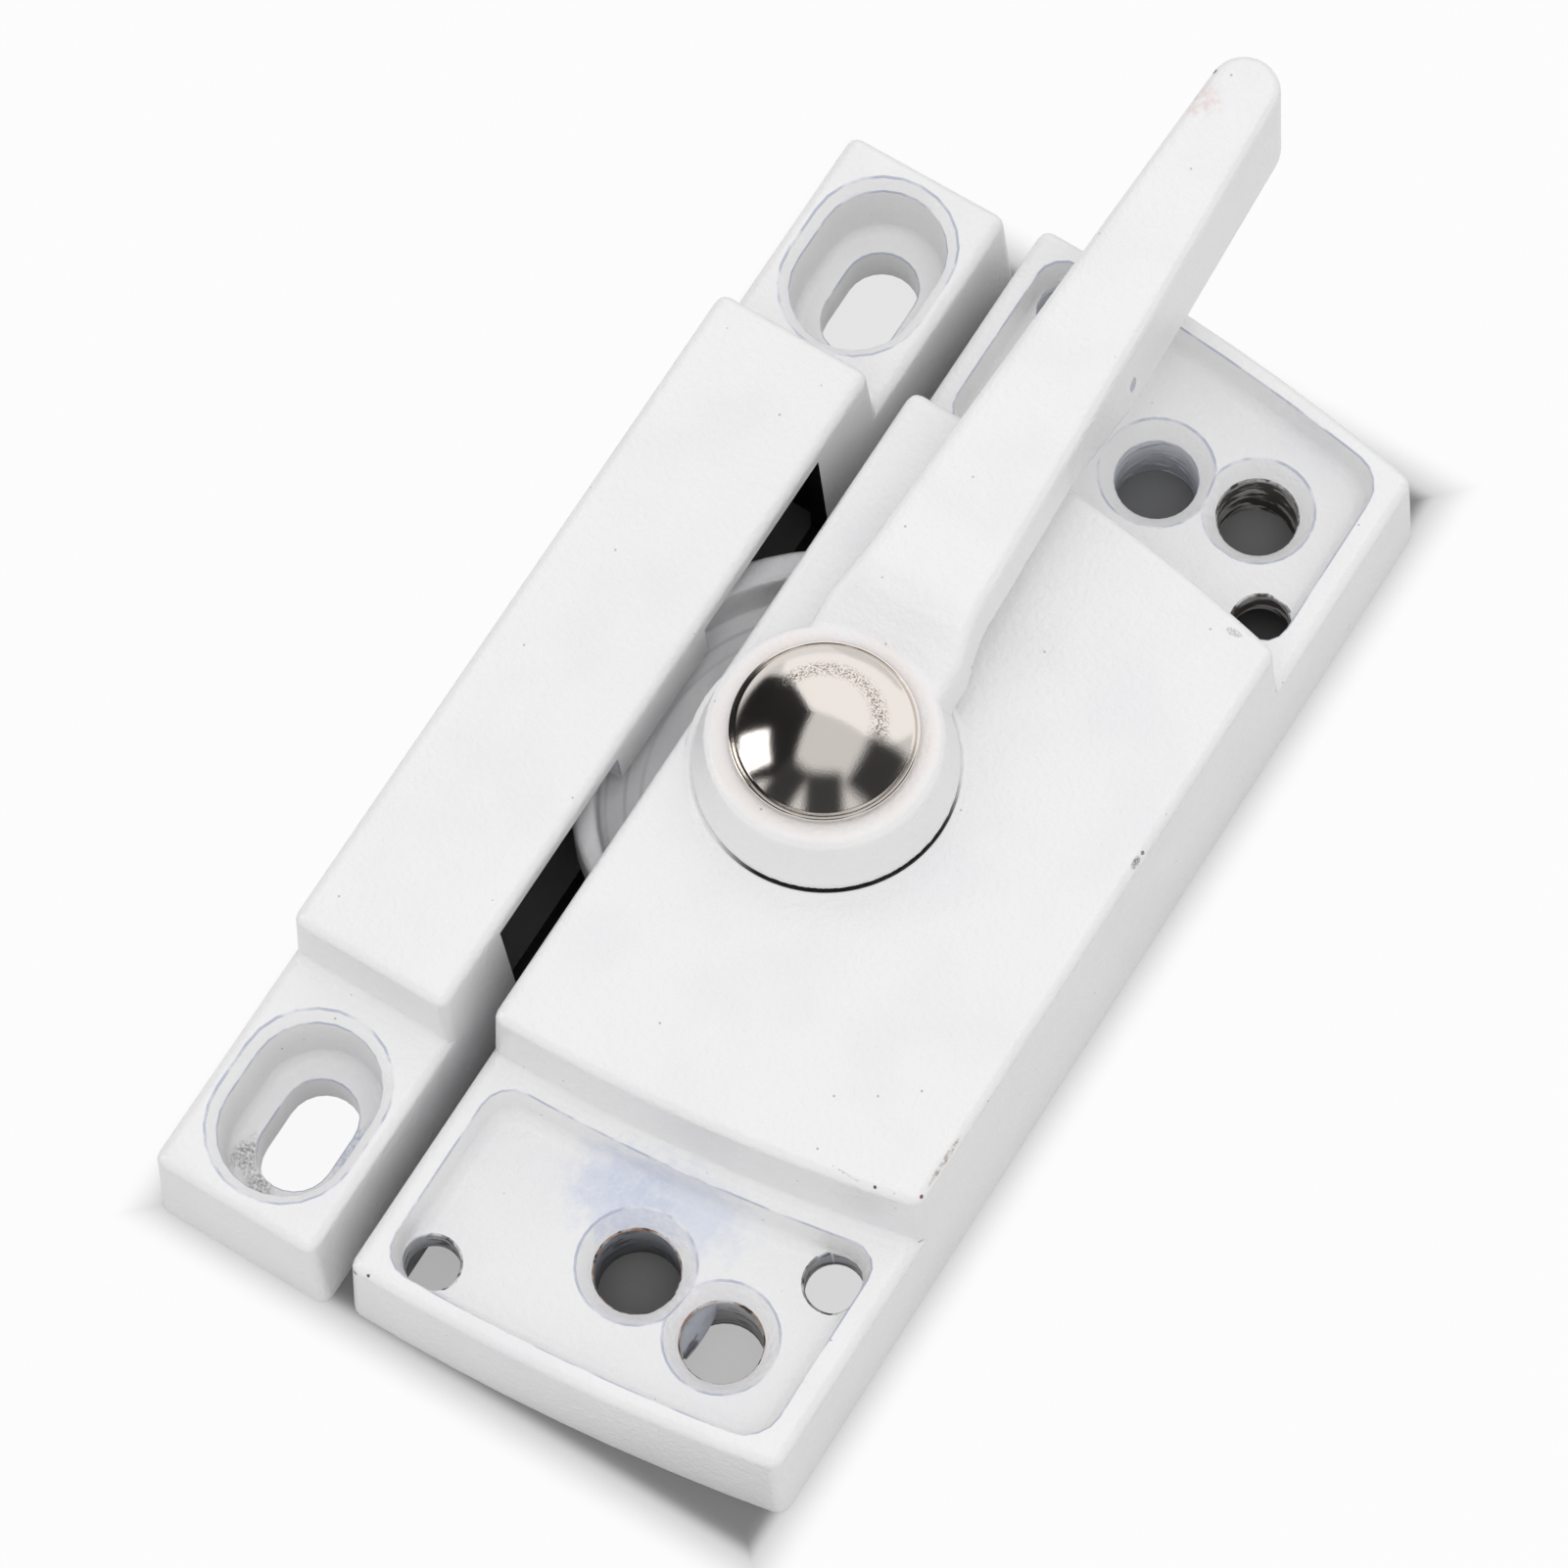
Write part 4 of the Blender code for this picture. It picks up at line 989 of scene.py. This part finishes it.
@dataclass
class SoftCasting:
    """A casting whose forms flow into each other, such as the lever and the cam.

    Everywhere its edges are softened a little, and in one place, the root, they are softened more.
    """

    node: str
    name: str
    coat: Finish
    voxel: float
    passes: int
    root: Region | None = None
    root_passes: int = 0
    root_edge: float = 1.5 * MM
    # How far one pass of smoothing moves a point towards the middle of its neighbours.
    pull: float = 0.5

    def build(self) -> Object:
        """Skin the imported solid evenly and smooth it.

        Returns:
            The finished casting.
        """
        piece = skin_of(self.node, self.name)
        piece.data.materials.append(self.coat.material())
        take_up(piece)
        piece.data.remesh_voxel_size = self.voxel
        bpy.ops.object.voxel_remesh()
        apply_modifier(piece, "SMOOTH", factor=self.pull, iterations=self.passes)
        if self.root:
            group = piece.vertex_groups.new(name="root")
            for point in piece.data.vertices:
                depth = self.root.depth(point.co) * MM / self.root_edge
                if depth > 0:
                    group.add([point.index], min(depth, 1.0), "REPLACE")
            apply_modifier(piece, "SMOOTH", factor=self.pull, iterations=self.root_passes,
                           vertex_group="root")
        take_up(piece)
        bpy.ops.object.shade_smooth()
        return piece


@dataclass
class HubCap:
    """The pressed cap: a rolled rim, a groove, a dome, and the skirt that grips the hub."""

    rim: float = 5.35 * MM
    rim_thickness: float = 0.35 * MM
    groove: float = 5.02 * MM
    groove_depth: float = 0.1 * MM
    dome: float = 4.9 * MM
    # The dome's curve starts this far above the rim.
    dome_edge: float = 0.18 * MM
    # From the crown down to where the rim sits on the hub.
    drop: float = 2.35 * MM
    wall: float = 0.5 * MM
    skirt: float = 4.4 * MM
    # The spin leaves a hole of this radius at each pole, which is then closed.
    pole: float = 0.02 * MM
    steps: int = 96
    rim_steps: int = 10
    dome_steps: int = 28
    vault_steps: int = 16

    def build(self) -> Object:
        """Spin the cap's section round its rim, over the dome and back inside.

        Returns:
            The finished cap.
        """
        low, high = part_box("hub_cap")
        top = high.z
        seat_height = top - self.drop
        shoulder = seat_height + self.rim_thickness + self.dome_edge
        rise = top - shoulder
        radius = (self.dome ** 2 + rise ** 2) / (2 * rise)
        centre = top - radius
        half = self.rim_thickness / 2
        outer = arc((self.rim - half, seat_height + half), half, -QUARTER, QUARTER, self.rim_steps)
        outer += [(self.groove, seat_height + self.rim_thickness - self.groove_depth),
                  (self.dome, seat_height + self.rim_thickness - self.groove_depth / 2)]
        outer += arc((0, centre), radius, math.acos(self.dome / radius), math.acos(self.pole / radius),
                     self.dome_steps)
        bore = self.skirt - self.wall
        vault = radius - self.wall
        inner = arc((0, centre), vault, math.acos(self.pole / vault), math.acos(bore / vault),
                    self.vault_steps)
        inner += [(bore, low.z), (self.skirt, low.z), (self.skirt, seat_height)]
        piece = spun("nickel_cap", [*outer, *inner, outer[0]], SPINDLE, self.steps)
        just_past_pole = 1.5 * self.pole
        select(piece, Pick.FACES, lambda face: all((point.co - SPINDLE).xy.length < just_past_pole
                                                   for point in face.verts))
        bpy.ops.mesh.delete(type="FACE")
        bpy.ops.mesh.select_all(action="SELECT")
        bpy.ops.mesh.fill_holes(sides=0)
        bpy.ops.mesh.normals_make_consistent(inside=False)
        bpy.ops.object.mode_set(mode="OBJECT")
        piece.data.materials.append(NICKEL.material())
        smooth_skin(piece)
        return piece


@dataclass
class CoreSkin:
    """The thin skin of zinc that the core pin left at one side of a pan hole, torn and bent down."""

    hole: tuple[float, float] = (-29.15, -11.05)
    reach: float = 2.4 * MM
    chord: float = 1.45 * MM
    height: float = 3.85 * MM
    thickness: float = 0.14 * MM
    edge_radius: float = 0.035 * MM
    # A fold: the share of its distance from the chord that the edge keeps, and how many millimetres it
    # goes down. Below zero, it goes past the chord and hangs free in the hole.
    folds: tuple[tuple[float, float], ...] = ((0.62, -0.08), (0.4, -0.2), (-0.9, -0.34))
    narrowing: float = 0.96
    steps: int = 64

    def build(self) -> Object:
        """Cut an arc from a circle against the hole's wall and extrude it inwards and down, fold by fold.

        Returns:
            The finished skin, closed and facing outwards.
        """
        middle = SPINDLE + Vector((self.hole[0] * MM, self.hole[1] * MM, self.height))
        put_down_everything()
        bpy.ops.mesh.primitive_circle_add(vertices=self.steps, radius=self.reach, location=middle)
        piece = bpy.context.object
        piece.name = piece.data.name = "core_skin"
        bpy.ops.object.transform_apply()
        select(piece, Pick.POINTS, lambda point: point.co.y < middle.y + self.chord)
        bpy.ops.mesh.delete(type="VERT")
        bpy.ops.mesh.select_all(action="SELECT")
        edge = middle + Vector((0, self.chord, 0))
        for share, drop in self.folds:
            bpy.ops.mesh.extrude_edges_move()
            bpy.ops.transform.resize(value=(self.narrowing, share, 1), center_override=edge)
            bpy.ops.transform.translate(value=(0, 0, drop * MM))
        bpy.ops.object.mode_set(mode="OBJECT")
        apply_modifier(piece, "SOLIDIFY", thickness=self.thickness, offset=0.0, use_even_offset=True)
        apply_modifier(piece, "BEVEL", width=self.edge_radius, segments=RIM_STEPS, limit_method="ANGLE")
        bpy.ops.object.mode_set(mode="EDIT")
        bpy.ops.mesh.select_all(action="SELECT")
        bpy.ops.mesh.normals_make_consistent(inside=False)
        bpy.ops.object.mode_set(mode="OBJECT")
        piece.data.materials.append(DARK_GREY_HOLE.material())
        smooth_skin(piece)
        return piece


@dataclass(frozen=True)
class PackedPiece:
    """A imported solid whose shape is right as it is: it only gets its finish."""

    node: str
    finish: Finish

    def dress(self) -> None:
        """Give the node its finish."""
        piece = frame["nodes"][self.node]
        piece.data.materials.clear()
        piece.data.materials.append(self.finish.material())
        log.info("%s: packed solid in %s", self.node, self.finish.name)


# Stage


@dataclass(frozen=True)
class PhotoCamera:
    """The camera that took the photograph, as fitted to the part's straight edges and round holes."""

    place: tuple[float, float, float] = (-118.441 * MM, -82.08 * MM, 384.414 * MM)
    turn_degrees: tuple[float, float, float] = (20.46, 1.5946, -57.9192)
    lens_mm: float = 162.483
    sensor_mm: float = 36.0

    def build(self) -> None:
        """Add the camera and make it the scene's."""
        put_down_everything()
        bpy.ops.object.camera_add(location=self.place,
                                  rotation=[math.radians(turn) for turn in self.turn_degrees])
        camera = bpy.context.object
        camera.data.lens = self.lens_mm
        camera.data.sensor_width = self.sensor_mm
        bpy.context.scene.camera = camera


@dataclass(frozen=True)
class Card:
    """A soft-edged card beside the set that only shiny metal sees."""

    name: str
    azimuth_degrees: float
    elevation_degrees: float
    width: float
    height: float
    glow: float
    reach: float
    soft: float


@dataclass(frozen=True)
class Studio:
    """A white table under one broad soft light, in an evenly lit white room."""

    table_size: float = 3.0
    table_drop: float = 0.02 * MM
    room_strength: float = 0.82
    lamp_place: tuple[float, float, float] = (-0.15, -0.12, 0.9)
    lamp_size: float = 0.7
    lamp_watts: float = 1.9
    cards: tuple[Card, ...] = (
        Card("bright_wall", 8, 34, 1.5, 0.9, 1.2, 0.62, 0.06),
        Card("dark_curtain", 100, 38, 1.25, 0.95, 0.02, 0.66, 0.2),
        Card("window", 121, 29, 0.3, 0.32, 2.6, 0.55, 0.3),
        Card("dark_door", 166, 40, 0.35, 0.63, 0.05, 0.6, 0.5),
        Card("dark_camera", -150, 42, 0.44, 0.62, 0.06, 0.59, 0.5),
        Card("dark_chair", -84, 38, 0.72, 0.56, 0.05, 0.58, 0.5))
    table: str = "C2C2C2"
    # Painted shade: the table's colour beneath the set, darker than the open table.
    shade: str = "7C7C7C"
    table_roughness: float = 0.6
    # Painted light: the table glows where it shows through a hole. A spot's middle, x and y, and its
    # radius, in millimetres about the spindle, and how much of the open table's white it has.
    painted_light_spots: tuple[tuple[float, float, float, float], ...] = (
        (-29.8, 16.6, 5.0, 0.93), (30.4, 16.6, 5.0, 0.75), (-22.0, -13.8, 2.6, 0.66),
        (-32.7, 5.9, 3.4, 0.4), (-27.9, -10.1, 3.4, 0.42))
    # A spot keeps its level up to this share of its radius.
    spot_core: float = 0.8
    # Distances outwards from the sides of the set: where the real shadow and the painted shade give way.
    shadow_start: float = -1.5 * MM
    shadow_reach: float = 2.2 * MM
    shade_start: float = -1.0 * MM
    open_level: float = 0.95

    def build(self) -> None:
        """Add the table, the lamp, the cards and the room light, and set the plain view transform."""
        put_down_everything()
        bpy.ops.mesh.primitive_plane_add(size=self.table_size, location=(0, 0, -self.table_drop))
        table = bpy.context.object
        table.name = "table"
        table.data.materials.append(self.table_material())
        bpy.ops.object.light_add(type="AREA", location=self.lamp_place)
        lamp = bpy.context.object
        lamp.data.size = self.lamp_size
        lamp.data.energy = self.lamp_watts
        lamp.rotation_euler = (-Vector(lamp.location)).to_track_quat("-Z", "Y").to_euler()
        lamp.visible_glossy = False
        for card in self.cards:
            self.hang(card)
        world = bpy.data.worlds.new("white_room")
        bpy.context.scene.world = world
        world.use_nodes = True
        background = world.node_tree.nodes["Background"]
        background.inputs["Color"].default_value = linear("FFFFFF")
        background.inputs["Strength"].default_value = self.room_strength
        bpy.context.scene.view_settings.view_transform = "Standard"

    def hang(self, card: Card) -> None:
        """Hang a card facing the set, seen by reflections alone.

        Args:
            card: the card to hang.
        """
        azimuth, elevation = math.radians(card.azimuth_degrees), math.radians(card.elevation_degrees)
        place = card.reach * Vector((math.cos(azimuth) * math.cos(elevation),
                                     math.sin(azimuth) * math.cos(elevation), math.sin(elevation)))
        bpy.ops.mesh.primitive_plane_add(size=1, location=place,
                                         rotation=place.to_track_quat("Z", "Y").to_euler())
        board = bpy.context.object
        board.name = card.name
        board.scale = (card.width, card.height, 1)
        board.visible_camera = board.visible_diffuse = board.visible_shadow = False
        made = bpy.data.materials.new(card.name)
        palette = Palette(made)
        # The plane is one unit wide before it is scaled, so its sides are half a unit away.
        side = 0.5
        away = palette.add("ShaderNodeVectorMath", {"operation": "ABSOLUTE"},
                           links={0: palette.add("ShaderNodeTexCoord").outputs["Object"]})
        sides = palette.add("ShaderNodeSeparateXYZ", links={0: away.outputs[0]})
        fades = [palette.add("ShaderNodeMapRange", SOFTLY,
                             {"From Min": side, "From Max": side - card.soft / 2},
                             {"Value": sides.outputs[axis]}).outputs["Result"] for axis in range(2)]
        glow = palette.add("ShaderNodeEmission", values={"Strength": card.glow})
        clear = palette.add("ShaderNodeBsdfTransparent")
        mix = palette.add("ShaderNodeMixShader",
                          links={0: palette.both(*fades), 1: clear.outputs[0], 2: glow.outputs[0]})
        made.node_tree.links.new(mix.outputs[0], made.node_tree.nodes["Material Output"].inputs["Surface"])
        board.data.materials.append(made)

    def table_material(self) -> Material:
        """White laminate, seen as pure white away from the set, with painted shade beneath it and painted
        light where it shows through the holes.

        Returns:
            The material.
        """
        made = bpy.data.materials.new("white_table")
        palette = Palette(made)
        castings = [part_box(node) for node in ("lock_housing", "keeper_body")]
        low = [min(corner[axis] for corner, _ in castings) for axis in range(2)]
        high = [max(corner[axis] for _, corner in castings) for axis in range(2)]
        middle = Vector(((low[0] + high[0]) / 2, (low[1] + high[1]) / 2, 0))
        centred = palette.add("ShaderNodeVectorMath", {"operation": "SUBTRACT"}, {1: middle},
                              {0: palette.add("ShaderNodeTexCoord").outputs["Object"]})
        away = palette.add("ShaderNodeVectorMath", {"operation": "ABSOLUTE"}, links={0: centred.outputs[0]})
        sides = palette.add("ShaderNodeSeparateXYZ", links={0: away.outputs[0]})
        past = [palette.add("ShaderNodeMath", {"operation": "SUBTRACT"}, {1: (high[axis] - low[axis]) / 2},
                            {0: sides.outputs[axis]}).outputs["Value"] for axis in range(2)]
        beyond = palette.most(past)
        open_table, bare = (
            palette.add("ShaderNodeMapRange", SOFTLY, {"From Min": start, "From Max": end, "To Max": level},
                        {"Value": beyond}).outputs["Result"]
            for start, end, level in ((self.shadow_start, self.shadow_reach, self.open_level),
                                      (self.shade_start, 0, 1)))
        glow = palette.most([open_table, *(self.disc(palette, *spot) for spot in self.painted_light_spots)])
        rays = palette.add("ShaderNodeLightPath")
        seen = palette.most([rays.outputs["Is Camera Ray"], rays.outputs["Is Glossy Ray"]])
        palette.set(base_color=palette.blend(bare, self.shade, self.table), roughness=self.table_roughness)
        mix = palette.add("ShaderNodeMixShader",
                          links={0: palette.both(seen, glow), 1: palette.shader.outputs[0],
                                 2: palette.add("ShaderNodeEmission").outputs[0]})
        output = made.node_tree.nodes["Material Output"]
        made.node_tree.links.new(mix.outputs[0], output.inputs["Surface"])
        return made

    def disc(self, palette: Palette, x: float, y: float, radius: float, level: float) -> NodeSocket:
        """A soft round patch of painted light on the table.

        Args:
            palette: the table's palette.
            x: the patch's middle, in millimetres about the spindle.
            y: the same across the set.
            radius: its radius, in millimetres.
            level: what the mask is at its middle.

        Returns:
            The mask of the patch.
        """
        reach = palette.add("ShaderNodeVectorMath", {"operation": "DISTANCE"}, {1: (x * MM, y * MM, 0)},
                            {0: palette.place})
        rim = radius * MM
        return palette.add("ShaderNodeMapRange", SOFTLY,
                           {"From Min": rim, "From Max": rim * self.spot_core, "To Max": level},
                           {"Value": reach.outputs["Value"]}).outputs["Result"]


def round_hole(x: float, y: float, radius: float, low: float, high: float) -> Region:
    """The block round a stretch of a hole in a pan."""
    return Region((x - radius, y - radius, low), (x + radius, y + radius, high))


HOUSING = Casting(
    "lock_housing", "housing_casting", HOUSING_COAT_AND_PAINTED_SHADE, RAW_ZINC,
    hollows=(Region((-35.9, -17.2, -1.0), (-19.2, 7.2, 3.45)),
             Region((19.2, -17.2, -1.0), (35.9, 7.2, 3.45)),
             Region((-17.5, -17.0, -1.0), (17.5, 7.1, 13.6))),
    lips=(*((round_hole(x, y, 2.8, 4.1, 4.5), finish) for x, y, finish in (
              (-28.15, -4.82, RUSTY_LIP), (-29.15, -11.05, RUSTY_LIP), (29.15, -11.05, WORN_LIP))),
          *((round_hole(x, y, 1.9, 5.3, 5.5), WORN_LIP) for x, y in (
              (-33.99, 5.01), (33.99, 5.01), (-23.2, -14.77), (23.2, -14.77)))),
    full_rims=(Region((-8.2, -8.2, 13.0), (8.2, 8.2, 15.0)),),
    creases=(Region((-36.6, -18.0, 5.3), (36.6, 8.0, 5.5)),),
    bores=(*((round_hole(x, y, 2.5, -0.1, 4.1), finish) for x, y, finish in (
               (-28.15, -4.82, DARK_GREY_HOLE), (-29.15, -11.05, RIBBED_HOLE),
               (28.15, -4.82, COATED_HOLE), (29.15, -11.05, ROUGH_HOLE))),
           *((round_hole(x, y, 1.75, -0.1, 5.2), finish) for x, y, finish in (
               (-33.99, 5.01, VENT_WALL), (33.99, 5.01, COATED_HOLE),
               (-23.2, -14.77, VENT_WALL), (23.2, -14.77, ROUGH_HOLE)))),
    crease_radius=0.5 * MM)
# The keeper's hollow, its jamb and the sill at its mouth are raw zinc darkened to near black: painted shade
# where they lie in shade.
KEEPER = Casting(
    "keeper_body", "keeper_casting", KEEPER_COAT, DARK_ZINC_AND_PAINTED_SHADE,
    hollows=(Region((-18.9, 11.2, -1.0), (17.6, 20.1, 12.8)),
             Region((15.0, 10.1, -1.0), (18.6, 20.1, 12.8)),
             Region((-18.9, 9.8, 1.9), (18.6, 12.0, 2.1))),
    creases=(Region((-37.0, 10.0, 2.9), (-24.6, 21.5, 3.1)), Region((23.3, 10.0, 2.9), (35.7, 21.5, 3.1))))
LEVER = SoftCasting("handle_lever", "lever_casting", LEVER_COAT, voxel=0.15 * MM, passes=1,
                    root=Region((4.0, -7.5, 14.0), (12.0, 7.5, 22.0)), root_passes=10)
CAM = SoftCasting("cam", "cam_casting", CAM_COAT_AND_PAINTED_SHADE, voxel=0.17 * MM, passes=44)


def main() -> None:
    """Build the set piece by piece, then light and frame it."""
    logging.basicConfig(level=logging.INFO, format="%(name)s: %(message)s")
    seat(HOUSING.build(), Body.LOCK, "lock_housing")
    seat(CoreSkin().build(), Body.LOCK, None)
    seat(KEEPER.build(), Body.LOCK, "keeper_body")
    seat(LEVER.build(), Body.HANDLE, "handle_lever")
    seat(CAM.build(), Body.HANDLE, "cam")
    seat(HubCap().build(), Body.HANDLE, "hub_cap")
    for node, finish in (("spindle", TURNED_STEEL), ("spindle_screw", TURNED_STEEL),
                         ("screw_washer", ROLLED_STEEL), ("hub_washer", NYLON), ("spindle_bush", NYLON),
                         ("wave_washer", SPRING_STEEL), ("detent_spring", SPRING_STEEL),
                         ("detent_rivet_1", TURNED_STEEL), ("detent_rivet_2", TURNED_STEEL)):
        PackedPiece(node, finish).dress()
    PhotoCamera().build()
    Studio().build()


if __name__ == "__main__":
    main()
